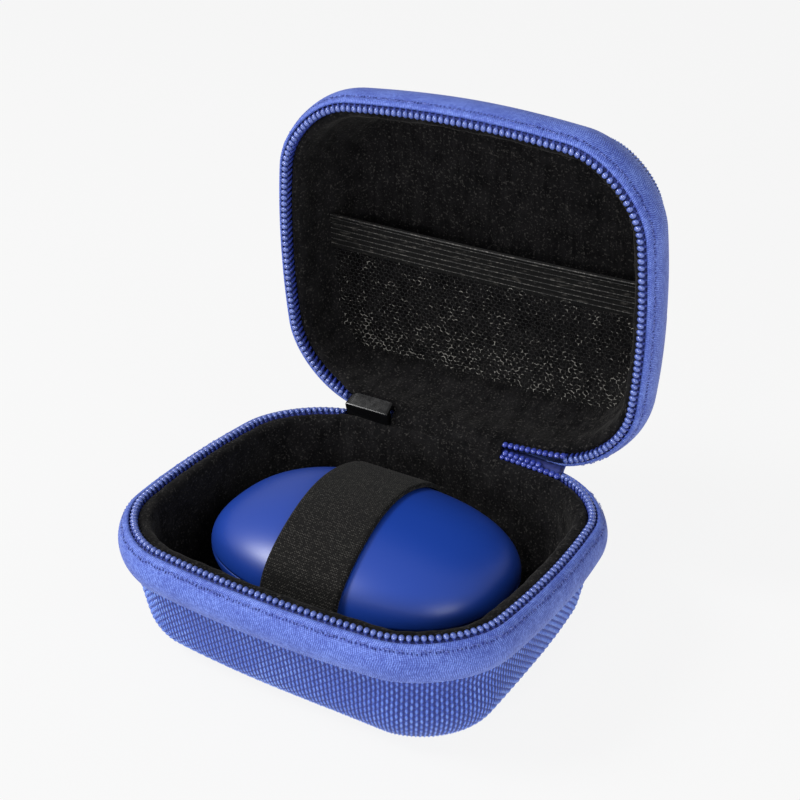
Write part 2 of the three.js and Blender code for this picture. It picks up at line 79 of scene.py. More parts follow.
# ------------------------------------------------------------------ the rim line
def _rim_table():
    ax, ay, r = HALF_X - BOW, HALF_Y - BOW, CORNER_R
    pts = []

    def line(a, b):
        n = int(np.hypot(b[0] - a[0], b[1] - a[1]) / 0.05)
        for k in range(n):
            pts.append((a[0] + (b[0] - a[0]) * k / n, a[1] + (b[1] - a[1]) * k / n))

    def arc(cx, cy, a0):
        n = int(r * math.pi / 2 / 0.05)
        for k in range(n):
            w = a0 + math.pi / 2 * k / n
            pts.append((cx + r * math.cos(w), cy + r * math.sin(w)))

    line((ax, 0), (ax, ay - r))
    arc(ax - r, ay - r, 0)
    line((ax - r, ay), (-(ax - r), ay))
    arc(-(ax - r), ay - r, math.pi / 2)
    line((-ax, ay - r), (-ax, -(ay - r)))
    arc(-(ax - r), -(ay - r), math.pi)
    line((-(ax - r), -ay), (ax - r, -ay))
    arc(ax - r, -(ay - r), 1.5 * math.pi)
    line((ax, -(ay - r)), (ax, 0))
    q = np.array(pts)
    u, v = q[:, 0] / ax, q[:, 1] / ay
    q = np.c_[q[:, 0] + BOW * u * (1 - v * v), q[:, 1] + BOW * v * (1 - u * u)]
    closed = np.vstack([q, q[:1]])
    s = np.r_[0, np.cumsum(np.hypot(*np.diff(closed, axis=0).T))]
    total = s[-1]
    n = 7200
    g = np.arange(n) * total / n
    x, y = np.interp(g, s, closed[:, 0]), np.interp(g, s, closed[:, 1])
    k = 24
    tx, ty = np.roll(x, -k) - np.roll(x, k), np.roll(y, -k) - np.roll(y, k)
    length = np.hypot(tx, ty)
    tx, ty = tx / length, ty / length
    return total, x, y, ty, -tx


RIM_L, _rx, _ry, _rnx, _rny = _rim_table()


def rim(s):
    """Point and outward normal of the teeth line at arc length s, counted anticlockwise from +X."""
    f = np.mod(np.asarray(s, float), RIM_L) / RIM_L * 7200
    i = np.floor(f).astype(int) % 7200
    j = (i + 1) % 7200
    a = f - np.floor(f)
    return tuple(q[i] * (1 - a) + q[j] * a for q in (_rx, _ry, _rnx, _rny))


def rear_s(x):
    """Arc length of the point of the rear run at a given x."""
    m = _ry > 0
    idx = np.where(m)[0]
    return idx[np.argmin(np.abs(_rx[idx] - x))] * RIM_L / 7200


# ------------------------------------------------------------------ placing points on the two halves
def _clamp(v, w, gap):
    """Behind the hinge line a soft part is pressed back on to a slope. v rearward, w away from the other half, negative."""
    e = 0.779 * (v + 0.1) + 0.627 * (w + 0.2) + gap
    e = 0.5 * (e + np.sqrt(e * e + 0.16))
    e = np.where(e > 0.13, e - 0.1, 0) * np.clip((v + 0.1) / 1.0, 0, 1)
    return v - e * 0.779, w - e * 0.627


def put(half, s, o, d, gap=None):
    """World point of [outward offset o, depth d from the parting plane] at rim position s."""
    x, y, nx, ny = rim(s)
    X = x + nx * o
    v = y + ny * o - HINGE_Y
    if half == "base":
        w = -d - UP + 0 * v
        if gap is not None:
            v, w = _clamp(v, w, gap)
        return np.stack(np.broadcast_arrays(X, HINGE_Y + v, HINGE_Z + w), -1)
    w = d - UP + 0 * v
    if gap is not None:
        v, w = _clamp(v, -w, gap)
        w = -w
    return np.stack(np.broadcast_arrays(X, HINGE_Y + v * CO + w * SO, HINGE_Z - v * SO + w * CO), -1)


def lid_point(x, y, z):
    """A point in the lid's closed frame (y from the hinge line, z up from the hinge line) to the world."""
    x, y, z = np.broadcast_arrays(np.asarray(x, float), y, z)
    return np.stack([x, HINGE_Y + y * CO + z * SO, HINGE_Z - y * SO + z * CO], -1)


# ------------------------------------------------------------------ mesh building
class Soup:
    """Collects parts of one piece and writes them as one mesh, with UVs in millimetres."""

    def __init__(self):
        self.v, self.f, self.n = [], [], 0

    def add(self, verts, faces, uv=None, mat=0):
        verts = np.asarray(verts, float).reshape(-1, 3)
        faces = np.asarray(faces, int)
        if uv is None:
            uv = np.zeros((len(verts), 2))
        uv = np.asarray(uv, float)
        corner = uv if uv.ndim == 3 else uv[faces]
        self.v.append(verts)
        self.f.append((faces + self.n, corner, mat))
        self.n += len(verts)

    def grid(self, P, closed_u=False, closed_v=False, uv=None, mat=0):
        """A sheet of quads from points P[i, j]."""
        nu, nv = P.shape[:2]
        iu, jv = nu if closed_u else nu - 1, nv if closed_v else nv - 1
        i, j = np.meshgrid(np.arange(iu), np.arange(jv), indexing="ij")
        i2, j2 = (i + 1) % nu, (j + 1) % nv
        f = np.stack([i * nv + j, i2 * nv + j, i2 * nv + j2, i * nv + j2], -1).reshape(-1, 4)
        corner = None
        if uv is not None:
            U, V = uv
            corner = np.stack(
                [
                    np.stack([U[i + a, j + b], V[i + a, j + b]], -1)
                    for a, b in ((0, 0), (1, 0), (1, 1), (0, 1))
                ],
                2,
            ).reshape(-1, 4, 2)
            self.v.append(P.reshape(-1, 3))
            self.f.append((f + self.n, corner, mat))
            self.n += nu * nv
            return
        self.add(P.reshape(-1, 3), f, None, mat)

    def shell(self, A, B, closed_u, uv=None, mat=0, ends=(True, True)):
        """A closed solid between two sheets of the same layout."""
        nu, nv = A.shape[:2]
        start = self.n
        self.grid(A, closed_u, False, uv, mat)
        self.grid(B, closed_u, False, uv, mat)
        iu = nu if closed_u else nu - 1
        i = np.arange(iu)
        i2 = (i + 1) % nu
        ga = lambda i, j: start + i * nv + j
        gb = lambda i, j: start + nu * nv + i * nv + j
        faces, corners = [], []

        def strip(a, b, c, d, ua, ub):
            faces.append(np.stack([a, b, c, d], -1))
            corners.append(np.stack([ua, ub, ub, ua], 1))

        def uvat(i, j):
            if uv is None:
                return np.zeros((len(i), 2))
            return np.stack([uv[0][i, j], uv[1][i, j]], -1)

        for flag, j in zip(ends, (0, nv - 1)):
            if flag:
                strip(ga(i, j), ga(i2, j), gb(i2, j), gb(i, j), uvat(i, j), uvat(i + 1, j) if uv is not None else uvat(i, j))
        if not closed_u:
            j = np.arange(nv - 1)
            for k in (0, nu - 1):
                kk = np.full(nv - 1, k)
                strip(ga(kk, j), ga(kk, j + 1), gb(kk, j + 1), gb(kk, j), uvat(kk, j), uvat(kk, j + 1))
        f = np.concatenate(faces)
        c = np.concatenate(corners)
        self.f.append((f, c, mat))

    def build(self, name, materials, smooth=True, recalc=True):
        verts = np.concatenate(self.v) * 0.001
        me = bpy.data.meshes.new(name)
        loops, totals, mats, uvs = [], [], [], []
        for f, c, m in self.f:
            loops.append(f.ravel())
            totals.append(np.full(len(f), f.shape[1]))
            mats.append(np.full(len(f), m))
            uvs.append(np.asarray(c).reshape(-1, 2))
        loops, totals, mats, uvs = map(np.concatenate, (loops, totals, mats, uvs))
        me.vertices.add(len(verts))
        me.vertices.foreach_set("co", verts.astype(np.float32).ravel())
        me.loops.add(len(loops))
        me.loops.foreach_set("vertex_index", loops.astype(np.int32))
        me.polygons.add(len(totals))
        me.polygons.foreach_set("loop_start", np.r_[0, np.cumsum(totals)[:-1]].astype(np.int32))
        me.polygons.foreach_set("material_index", mats.astype(np.int32))
        me.polygons.foreach_set("use_smooth", np.full(len(totals), smooth))
        layer = me.uv_layers.new(name="fabric")
        layer.data.foreach_set("uv", uvs.astype(np.float32).ravel())
        me.update(calc_edges=True)
        me.validate()
        if recalc:
            bm = bmesh.new()
            bm.from_mesh(me)
            bmesh.ops.remove_doubles(bm, verts=bm.verts, dist=1e-7)
            bmesh.ops.recalc_face_normals(bm, faces=bm.faces)
            bm.to_mesh(me)
            bm.free()
        for m in materials:
            me.materials.append(m)
        ob = bpy.data.objects.new(name, me)
        bpy.context.scene.collection.objects.link(ob)
        return ob


def spline(points, n):
    """A smooth open line through points, n samples even in length, with its arc length and left-hand normal."""
    p = np.asarray(points, float)
    ext = np.vstack([2 * p[0] - p[1], p, 2 * p[-1] - p[-2]])
    out = []
    for i in range(1, len(ext) - 2):
        a, b, c, d = ext[i - 1 : i + 3]
        for t in np.linspace(0, 1, 24, endpoint=False):
            out.append(0.5 * ((2 * b) + (c - a) * t + (2 * a - 5 * b + 4 * c - d) * t * t + (3 * b - a - 3 * c + d) * t**3))
    out.append(p[-1])
    q = np.array(out)
    s = np.r_[0, np.cumsum(np.linalg.norm(np.diff(q, axis=0), axis=1))]
    g = np.linspace(0, s[-1], n)
    r = np.stack([np.interp(g, s, q[:, k]) for k in range(q.shape[1])], -1)
    tan = np.gradient(r, axis=0)
    tan /= np.linalg.norm(tan, axis=1)[:, None]
    return r, g, np.stack([tan[:, 1], -tan[:, 0]], -1)


class Profile:
    """A section line as a function of arc length t, with outward normal."""

    def __init__(self, points, n=400):
        self.p, self.t, self.n = spline(points, n)
        self.length = self.t[-1]

    def at(self, t):
        o, d = np.interp(t, self.t, self.p[:, 0]), np.interp(t, self.t, self.p[:, 1])
        no, nd = np.interp(t, self.t, self.n[:, 0]), np.interp(t, self.t, self.n[:, 1])
        return o, d, no, nd


def wall_points(h, draft, t, start):
    """Straight wall and fillet of a half's section, at ply depth t, from depth start to the edge of the flat floor."""
    a = math.atan(draft)
    hc = h - FILLET_R
    line = lambda d: -0.5 - draft * (d - 11.5)
    oc = line(hc) - FILLET_R / math.cos(a)
    pts = [(line(d) - t / math.cos(a), d) for d in np.linspace(start, hc + (FILLET_R - t) * math.sin(a), 5)]
    for w in np.linspace(a, math.pi / 2, 9)[1:]:
        pts.append((oc + (FILLET_R - t) * math.cos(w), hc + (FILLET_R - t) * math.sin(w)))
    return pts, oc


# ------------------------------------------------------------------ materials
class Mat:
    def __init__(self, name, color=(0.5, 0.5, 0.5), rough=0.5, **more):
        self.m = bpy.data.materials.new(name)
        self.m.use_nodes = True
        self.t = self.m.node_tree
        self.b = self.t.nodes["Principled BSDF"]
        self.b.inputs["Base Color"].default_value = (*color, 1)
        self.b.inputs["Roughness"].default_value = rough
        for k, v in more.items():
            self.b.inputs[k.replace("_", " ")].default_value = v
        self.m.diffuse_color = (*color, 1)

    def node(self, kind, inputs=None, **attrs):
        n = self.t.nodes.new(kind)
        for k, v in attrs.items():
            setattr(n, k, v)
        for k, v in (inputs or {}).items():
            if isinstance(v, bpy.types.NodeSocket):
                self.t.links.new(v, n.inputs[k])
            else:
                n.inputs[k].default_value = v
        return n

    def math(self, op, a, b=0.0, c=None, clamp=False):
        n = self.node("ShaderNodeMath", {0: a, 1: b}, operation=op, use_clamp=clamp)
        if c is not None:
            if isinstance(c, bpy.types.NodeSocket):
                self.t.links.new(c, n.inputs[2])
            else:
                n.inputs[2].default_value = c
        return n.outputs[0]

    def mix(self, fac, a, b):
        n = self.t.nodes.new("ShaderNodeMix")
        n.data_type = "RGBA"
        for k, v in ((0, fac), (6, a), (7, b)):
            if isinstance(v, bpy.types.NodeSocket):
                self.t.links.new(v, n.inputs[k])
            else:
                n.inputs[k].default_value = (*v, 1) if isinstance(v, tuple) and len(v) == 3 else v
        return n.outputs[2]

    def uv(self):
        n = self.node("ShaderNodeUVMap", uv_map="fabric")
        s = self.node("ShaderNodeSeparateXYZ", {0: n.outputs[0]})
        return s.outputs[0], s.outputs[1], n.outputs[0]

    def coord(self):
        return self.node("ShaderNodeTexCoord").outputs["Object"]

    def noise(self, vec, scale, detail=2.0, rough=0.5):
        return self.node("ShaderNodeTexNoise", {"Vector": vec, "Scale": scale, "Detail": detail, "Roughness": rough}).outputs["Fac"]

    def ramp(self, fac, stops):
        n = self.node("ShaderNodeValToRGB", {0: fac})
        e = n.color_ramp.elements
        while len(e) > 1:
            e.remove(e[-1])
        e[0].position, e[0].color = stops[0][0], (*stops[0][1], 1)
        for pos, col in stops[1:]:
            k = e.new(pos)
            k.color = (*col, 1)
        return n.outputs[0]

    def step(self, x, lo, hi):
        return self.node("ShaderNodeMapRange", {0: x, 1: lo, 2: hi, 3: 0.0, 4: 1.0}, interpolation_type="SMOOTHSTEP").outputs[0]

    def color(self, sock):
        self.t.links.new(sock, self.b.inputs["Base Color"])

    def rough(self, sock):
        self.t.links.new(sock, self.b.inputs["Roughness"])

    def bump(self, height, strength=0.4, distance=0.0001):
        n = self.node("ShaderNodeBump", {"Height": height, "Strength": strength, "Distance": distance})
        self.t.links.new(n.outputs[0], self.b.inputs["Normal"])


def make_materials():
    M = {}
    # coarse nylon: the raised vertical floats
    m = Mat("nylon_float", (0.10, 0.19, 0.75), 0.30, Sheen_Weight=0.3, Sheen_Roughness=0.35, Sheen_Tint=(0.6, 0.75, 1, 1), Specular_IOR_Level=0.9)
    u, v, uv = m.uv()
    fib = m.math("SINE", m.math("MULTIPLY", u, 62.0))
    big = m.noise(m.coord(), 90.0, 2.0)
    fine = m.noise(m.coord(), 1500.0, 2.0)
    tone = m.math("ADD", m.math("MULTIPLY", big, 0.5), m.math("MULTIPLY", fine, 0.5))
    m.color(m.ramp(tone, [(0.3, (0.065, 0.14, 0.60)), (0.5, (0.105, 0.215, 0.78)), (0.68, (0.22, 0.37, 0.92))]))
    m.bump(fib, 0.25, 0.00004)
    M["float"] = m.m
    # lower weft floats: the same yarn as the raised floats, coloured darker as painted shade
    m = Mat("nylon_weft_painted_shade", (0.05, 0.10, 0.50), 0.5, Sheen_Weight=0.15, Sheen_Tint=(0.5, 0.6, 1, 1))
    m.color(m.ramp(m.noise(m.coord(), 1300.0, 2.0), [(0.3, (0.032, 0.066, 0.38)), (0.7, (0.062, 0.118, 0.55))]))
    M["weft"] = m.m
    # coarse nylon: the ground between the floats, with the crossing yarn; its dark navy in the gaps between the yarns
    # is painted shade
    m = Mat("nylon_ground_painted_shade", (0.03, 0.06, 0.4), 0.6, Sheen_Weight=0.15, Sheen_Tint=(0.4, 0.5, 1, 1))
    u, v, uv = m.uv()
    cu = m.math("COSINE", m.math("MULTIPLY", u, math.pi / PU))
    cv = m.math("COSINE", m.math("MULTIPLY", v, math.pi / PV))
    cell = m.math("MULTIPLY_ADD", m.math("MULTIPLY", cu, cv), -0.5, 0.5)
    cell = m.step(cell, 0.35, 0.95)
    thread = m.math("MULTIPLY_ADD", m.math("SINE", m.math("MULTIPLY", v, 55.0)), 0.12, 0.88)
    m.color(m.mix(m.math("MULTIPLY", cell, thread), (0.008, 0.016, 0.15), (0.042, 0.085, 0.44)))
    m.bump(cell, 0.9, 0.00018)
    M["ground"] = m.m
    # zip tape: fine twill, rougher along its sewn line, whose dents carry painted shade, and along its folded edge,
    # which carries a painted highlight
    m = Mat("twill_tape", (0.12, 0.17, 0.66), 0.62, Sheen_Weight=0.10, Sheen_Roughness=0.45, Sheen_Tint=(0.6, 0.7, 1, 1))
    u, v, uv = m.uv()
    c = m.coord()
    vv = m.math("PINGPONG", m.math("ADD", v, 0.4), 2.3)
    slant = m.math("MULTIPLY_ADD", vv, 0.30, u)
    rib = m.math("SINE", m.math("MULTIPLY", slant, 2 * math.pi / 0.44))
    n1 = m.noise(c, 160.0, 3.0)
    n2 = m.noise(c, 2300.0, 3.0, 0.65)
    grain = m.noise(c, 1100.0, 2.0, 0.6)
    cross = m.math("MULTIPLY", m.math("SINE", m.math("MULTIPLY", m.math("ADD", u, v), 2 * math.pi / 0.74)), m.math("SINE", m.math("MULTIPLY", m.math("SUBTRACT", u, v), 2 * math.pi / 0.74)))
    h = m.math("MULTIPLY_ADD", rib, 0.20, m.math("MULTIPLY_ADD", cross, 0.22, 0.5))
    tone = m.math("ADD", m.math("MULTIPLY", h, 0.30), m.math("ADD", m.math("MULTIPLY", n1, 0.16), m.math("ADD", m.math("MULTIPLY", n2, 0.34), m.math("MULTIPLY", grain, 0.20))))
    cloth = m.ramp(tone, [(0.40, (0.032, 0.058, 0.35)), (0.5, (0.074, 0.127, 0.50)), (0.60, (0.18, 0.275, 0.76))])
    # painted shade: dark streaks beside the sewn line, in the same places as the dents of the bump
    streak = m.noise(m.node("ShaderNodeCombineXYZ", {0: m.math("MULTIPLY", u, 2.6), 1: m.math("MULTIPLY", v, 0.55)}).outputs[0], 1.0, 2.0, 0.6)
    near = m.math("SUBTRACT", 1.0, m.step(m.math("ABSOLUTE", m.math("SUBTRACT", v, STITCH_T + 0.25)), 0.25, 0.85))
    dark = m.math("MULTIPLY", near, m.step(streak, 0.48, 0.62))
    cloth = m.mix(m.math("MULTIPLY", dark, 0.55), cloth, (0.03, 0.045, 0.32))
    # painted highlight: a bright band, broken up by noise, along the folded lower edge
    edge = m.math("MULTIPLY", m.step(v, 9.8, 10.5), m.step(m.noise(c, 1500.0, 2.0), 0.5, 0.62))
    m.color(m.mix(m.math("MULTIPLY", edge, 0.7), cloth, (0.34, 0.46, 0.93)))
    m.bump(m.math("ADD", m.math("ADD", h, m.math("MULTIPLY", n2, 0.8)), m.math("MULTIPLY", dark, -1.5)), 0.7, 0.0001)
    M["tape"] = m.m
    # coil teeth
    m = Mat("coil_nylon", (0.10, 0.15, 0.48), 0.30, Coat_Weight=0.8, Coat_Roughness=0.14, Specular_IOR_Level=0.8)
    n1 = m.noise(m.coord(), 420.0, 2.0)
    m.color(m.ramp(n1, [(0.3, (0.062, 0.105, 0.40)), (0.7, (0.115, 0.175, 0.54))]))
    m.rough(m.math("MULTIPLY_ADD", n1, 0.2, 0.24))
    M["teeth"] = m.m
    m = Mat("coil_cord", (0.010, 0.018, 0.13), 0.8)
    m.color(m.ramp(m.noise(m.coord(), 900.0), [(0.3, (0.006, 0.01, 0.08)), (0.7, (0.016, 0.03, 0.19))]))
    M["cord"] = m.m
    m = Mat("sewing_thread", (0.30, 0.38, 0.85), 0.6, Sheen_Weight=0.3)
    m.color(m.ramp(m.noise(m.coord(), 1800.0), [(0.3, (0.045, 0.075, 0.40)), (0.7, (0.17, 0.24, 0.70))]))
    M["thread"] = m.m
    # coil legs and back loops: the same nylon as the heads, coloured darker as painted shade
    m = Mat("coil_leg_painted_shade", (0.03, 0.05, 0.32), 0.4)
    m.color(m.ramp(m.noise(m.coord(), 700.0), [(0.3, (0.022, 0.036, 0.25)), (0.7, (0.045, 0.075, 0.42))]))
    M["leg"] = m.m
    m = Mat("stub_nylon", (0.05, 0.075, 0.45), 0.22, Coat_Weight=0.7, Coat_Roughness=0.1)
    m.color(m.ramp(m.noise(m.coord(), 500.0), [(0.3, (0.035, 0.055, 0.36)), (0.7, (0.075, 0.11, 0.50))]))
    M["stub"] = m.m
    # needle holes: their dark is painted shade of the holes
    m = Mat("needle_hole_painted_shade", (0.03, 0.045, 0.30), 0.9)
    m.color(m.ramp(m.noise(m.coord(), 1200.0), [(0.3, (0.010, 0.018, 0.15)), (0.7, (0.028, 0.045, 0.30))]))
    M["hole"] = m.m
    # brushed velour
    m = Mat("velour", (0.006, 0.006, 0.0065), 0.95, Sheen_Weight=0.10, Sheen_Roughness=0.4, Sheen_Tint=(0.6, 0.58, 0.55, 1), Specular_IOR_Level=0.08)
    c = m.coord()
    clump = m.noise(c, 260.0, 3.0, 0.6)
    speck = m.step(m.noise(c, 1700.0, 2.0, 0.75), 0.55, 0.70)
    stretch = m.node("ShaderNodeMapping", {"Vector": c, "Scale": (1.0, 0.12, 0.12)}).outputs[0]
    ribs = m.noise(stretch, 900.0, 2.0)
    base = m.ramp(m.math("ADD", m.math("MULTIPLY", clump, 0.6), m.math("MULTIPLY", ribs, 0.4)), [(0.38, (0.0028, 0.0028, 0.0032)), (0.62, (0.0098, 0.0094, 0.0100))])
    m.color(m.mix(m.math("MULTIPLY", speck, 0.8), base, (0.052, 0.049, 0.046)))
    m.bump(m.math("ADD", clump, m.math("MULTIPLY", m.noise(c, 1900.0, 3.0), 0.8)), 0.8, 0.0003)
    M["velour"] = m.m
    # knitted elastic
    m = Mat("knit_elastic", (0.02, 0.02, 0.021), 0.85, Sheen_Weight=0.05, Specular_IOR_Level=0.12)
    u, v, uv = m.uv()
    a = m.math("SINE", m.math("MULTIPLY", v, 2 * math.pi / 0.66))
    b = m.math("SINE", m.math("ADD", m.math("MULTIPLY", u, 2 * math.pi / 0.62), m.math("MULTIPLY", a, 0.8)))
    loop = m.math("MULTIPLY_ADD", m.math("MULTIPLY", a, b), 0.5, 0.5)
    sp = m.noise(m.coord(), 1500.0, 2.0, 0.6)
    dots = m.math("MULTIPLY", m.step(loop, 0.55, 0.98), m.step(sp, 0.42, 0.62))
    m.color(m.mix(m.math("MULTIPLY", dots, 0.85), (0.0065, 0.0063, 0.006), (0.10, 0.095, 0.085)))
    m.bump(loop, 0.7, 0.00012)
    M["elastic"] = m.m
    m = Mat("hem_elastic", (0.007, 0.007, 0.0072), 0.85, Sheen_Weight=0.03, Specular_IOR_Level=0.1)
    u, v, uv = m.uv()
    sp = m.noise(m.node("ShaderNodeMapping", {"Vector": m.coord(), "Scale": (0.25, 1, 1)}).outputs[0], 1700.0, 2.0, 0.6)
    m.color(m.mix(m.step(sp, 0.55, 0.72), (0.004, 0.004, 0.0039), (0.035, 0.033, 0.03)))
    m.bump(m.math("SINE", m.math("MULTIPLY", u, 2 * math.pi / 0.5)), 0.4, 0.00006)
    M["hem"] = m.m
    m = Mat("hem_line", (0.05, 0.048, 0.044), 0.5, Sheen_Weight=0.2)
    m.color(m.mix(m.step(m.noise(m.coord(), 1700.0, 2.0), 0.48, 0.66), (0.006, 0.006, 0.0058), (0.14, 0.132, 0.12)))
    M["hem_line"] = m.m
    m = Mat("net_yarn", (0.02, 0.02, 0.02), 0.55, Sheen_Weight=0.05, Specular_IOR_Level=0.2)
    c = m.coord()
    # painted glints: bright flecks on the black yarn, set more often below about 43 mm height
    z = m.node("ShaderNodeSeparateXYZ", {0: c}).outputs[2]
    low = m.math("SUBTRACT", 1.0, m.step(z, 0.043, 0.058))
    n = m.math("ADD", m.math("MULTIPLY", m.noise(c, 1300.0, 2.0, 0.6), 0.8), m.math("MULTIPLY", m.noise(c, 220.0, 2.0), 0.3))
    n = m.math("MULTIPLY_ADD", low, 0.055, m.math("SUBTRACT", n, 0.022))
    m.color(m.mix(m.step(n, 0.60, 0.68), (0.0035, 0.0035, 0.0035), (0.34, 0.33, 0.30)))
    M["net"] = m.m
    # slider: glossy black enamel
    m = Mat("black_enamel", (0.004, 0.004, 0.0045), 0.2, Coat_Weight=0.15, Coat_Roughness=0.1, Specular_IOR_Level=0.32)
    n1 = m.noise(m.coord(), 700.0, 3.0)
    m.rough(m.math("MULTIPLY_ADD", n1, 0.22, 0.08))
    m.bump(m.noise(m.coord(), 500.0, 2.0), 0.08, 0.00005)
    M["enamel"] = m.m
    # satin moulded plastic of the charging case
    m = Mat("satin_plastic", (0.0105, 0.055, 0.40), 0.40, Coat_Weight=0.0, Specular_IOR_Level=0.72)
    n1 = m.noise(m.coord(), 25.0, 2.0)
    m.color(m.mix(n1, (0.0085, 0.048, 0.345), (0.0105, 0.057, 0.39)))
    g = m.noise(m.coord(), 4200.0, 2.0)
    m.rough(m.math("MULTIPLY_ADD", g, 0.06, 0.33))
    m.bump(g, 0.06, 0.00003)
    M["plastic"] = m.m
    m = Mat("eva_foam", (0.05, 0.05, 0.055), 0.9)
    m.color(m.ramp(m.noise(m.coord(), 1500.0, 3.0), [(0.35, (0.03, 0.03, 0.034)), (0.65, (0.07, 0.07, 0.076))]))
    m.bump(m.node("ShaderNodeTexVoronoi", {"Vector": m.coord(), "Scale": 1800.0}).outputs["Distance"], 0.5, 0.0002)
    M["foam"] = m.m
    return M




def finish_piece(ob, body, slot, *nodes):
    if body:
        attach(ob, body)
    if nodes:
        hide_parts(*nodes)
    return ob


# ------------------------------------------------------------------ small repeated shapes
LENS = np.array([[0, -1], [0.8, -0.55], [1, 0], [0.8, 0.55], [0, 1], [-0.8, 0.55], [-1, 0], [-0.8, -0.55], [0, -0.5], [0, 0], [0, 0.5]])
LENS_H = np.array([-0.3] * 8 + [0.86, 1.0, 0.86])
LENS_T = np.array([[0, 1, 8], [3, 4, 10], [4, 5, 10], [7, 0, 8], [0, 7, 1], [3, 5, 4]])
LENS_Q = np.array([[1, 2, 9, 8], [2, 3, 10, 9], [5, 6, 9, 10], [6, 7, 8, 9], [1, 7, 6, 2], [2, 6, 5, 3]])


def lenses(soup, surface, cu, ct, au, at, height, mat=0, lean=None):
    """Small lens-shaped floats laid on surface(u, t, h)."""
    cu, ct = np.asarray(cu, float), np.asarray(ct, float)
    k = len(cu)
    au, at, height = (np.broadcast_to(np.asarray(q, float), k) for q in (au, at, height))
    U = cu[:, None] + au[:, None] * LENS[:, 0]
    T = ct[:, None] + at[:, None] * LENS[:, 1]
    if lean is not None:
        U = U + np.asarray(lean)[:, None] * (T - ct[:, None])
    H = height[:, None] * LENS_H
    P = surface(U, T, H)
    idx = (np.arange(k) * 11)[:, None, None]
    uv = np.stack([U, T], -1).reshape(-1, 2)
    n0 = soup.n
    soup.add(P.reshape(-1, 3), (LENS_T + idx).reshape(-1, 3), uv, mat)
    f = (LENS_Q + idx).reshape(-1, 4)
    soup.f.append((f + n0, uv[f], mat))


def tubes(soup, centre, side, lift, radius_s, radius_l, sides=8, mat=0):
    """Closed tubes. centre, side, lift: (k, m, 3) points and unit directions; radii broadcast to (k, m)."""
    k, m = centre.shape[:2]
    w = np.arange(sides) * 2 * math.pi / sides
    rs, rl = np.broadcast_to(radius_s, (k, m)), np.broadcast_to(radius_l, (k, m))
    P = centre[:, :, None] + side[:, :, None] * (rs[..., None] * np.cos(w))[..., None] + lift[:, :, None] * (rl[..., None] * np.sin(w))[..., None]
    P = P.reshape(k, m * sides, 3)
    tips = np.stack([centre[:, 0], centre[:, -1]], 1)
    V = np.concatenate([P, tips], 1)
    per = m * sides + 2
    quads, tris = [], []
    for i in range(m - 1):
        for j in range(sides):
            a, b = i * sides + j, i * sides + (j + 1) % sides
            quads.append((a, b, b + sides, a + sides))
    for j in range(sides):
        tris.append((m * sides, (j + 1) % sides, j))
        tris.append((m * sides + 1, (m - 1) * sides + j, (m - 1) * sides + (j + 1) % sides))
    off = (np.arange(k) * per)[:, None, None]
    n0 = soup.n
    soup.add(V.reshape(-1, 3), (np.array(quads) + off).reshape(-1, 4), None, mat)
    f = (np.array(tris) + off).reshape(-1, 3)
    soup.f.append((f + n0, np.zeros((len(f), 3, 2)), mat))


def stitches(soup, place, s, half_len, r, o, d, mat=0, slant=0.0):
    """Short sewn threads, bowed a little, along the rim."""
    k = len(s)
    t = np.linspace(-1, 1, 5)
    S = s[:, None] + half_len * t
    O = o + 0.0 * S + slant * t
    D = d + 0.0 * S + (t**2) * r * 0.9
    c = place(S, O, D)
    ahead = place(S + 0.05, O, D) - c
    side = ahead / np.linalg.norm(ahead, axis=-1, keepdims=True)
    up = place(S, O + 0.05, D) - c
    up /= np.linalg.norm(up, axis=-1, keepdims=True)
    third = np.cross(side, up)
    rr = r * np.sqrt(np.clip(1.05 - t**2 * 0.6, 0.05, 1))
    tubes(soup, c, up, third, rr, rr, 6, mat)


# ------------------------------------------------------------------ the two shells
STITCH_T = 1.95
COLS = int(round(RIM_L / 1.04 / 2)) * 2
PU, PV = RIM_L / COLS, 0.82
MAT = make_materials()
TAPE = {
    "base": [(0.40, 1.15), (1.0, 1.05), (1.85, 1.8), (2.5, 3.1), (2.9, 4.6), (2.95, 5.9), (2.7, 7.3), (2.2, 8.5), (1.65, 9.4), (1.3, 9.85), (0.8, 10.15), (0.3, 10.1), (0.0, 9.8)],
    "lid": [(0.40, 1.15), (0.85, 1.05), (1.4, 1.9), (1.85, 3.4), (2.15, 5.2), (2.15, 6.8), (1.85, 8.5), (1.45, 10.0), (1.0, 11.1), (0.8, 11.6), (0.35, 11.9), (-0.1, 11.85), (-0.5, 11.55)],
}
NOTCH_X0, NOTCH_X1 = -35.2, -15.2
S_LEFT = rear_s(NOTCH_X0 + 5.4)  # the rows run into the slider's nose
S_RIGHT = rear_s(29.9)
SPAN = (S_RIGHT - S_LEFT) % RIM_L
PITCH = SPAN / round(SPAN / 1.5)
N_TEETH = int(round(SPAN / PITCH))

HEAD = np.array([(-1.26, 1.22, 0.30, 0.28), (-1.18, 0.92, 0.48, 0.44), (-0.90, 0.71, 0.62, 0.57), (-0.56, 0.70, 0.61, 0.56), (-0.28, 0.88, 0.47, 0.44), (-0.16, 1.12, 0.24, 0.24)])
LEG = np.array([(-1.00, 3.5, 0.30, 0.26), (-1.14, 2.9, 0.34, 0.28), (-1.24, 2.2, 0.38, 0.30), (-1.26, 1.5, 0.42, 0.32), (-1.1, 1.1, 0.34, 0.28)])
BACK = np.array([(0.62, 1.80, 0.22, 0.20), (0.30, 1.62, 0.28, 0.24), (-0.05, 1.45, 0.30, 0.26), (-0.40, 1.25, 0.32, 0.26)])


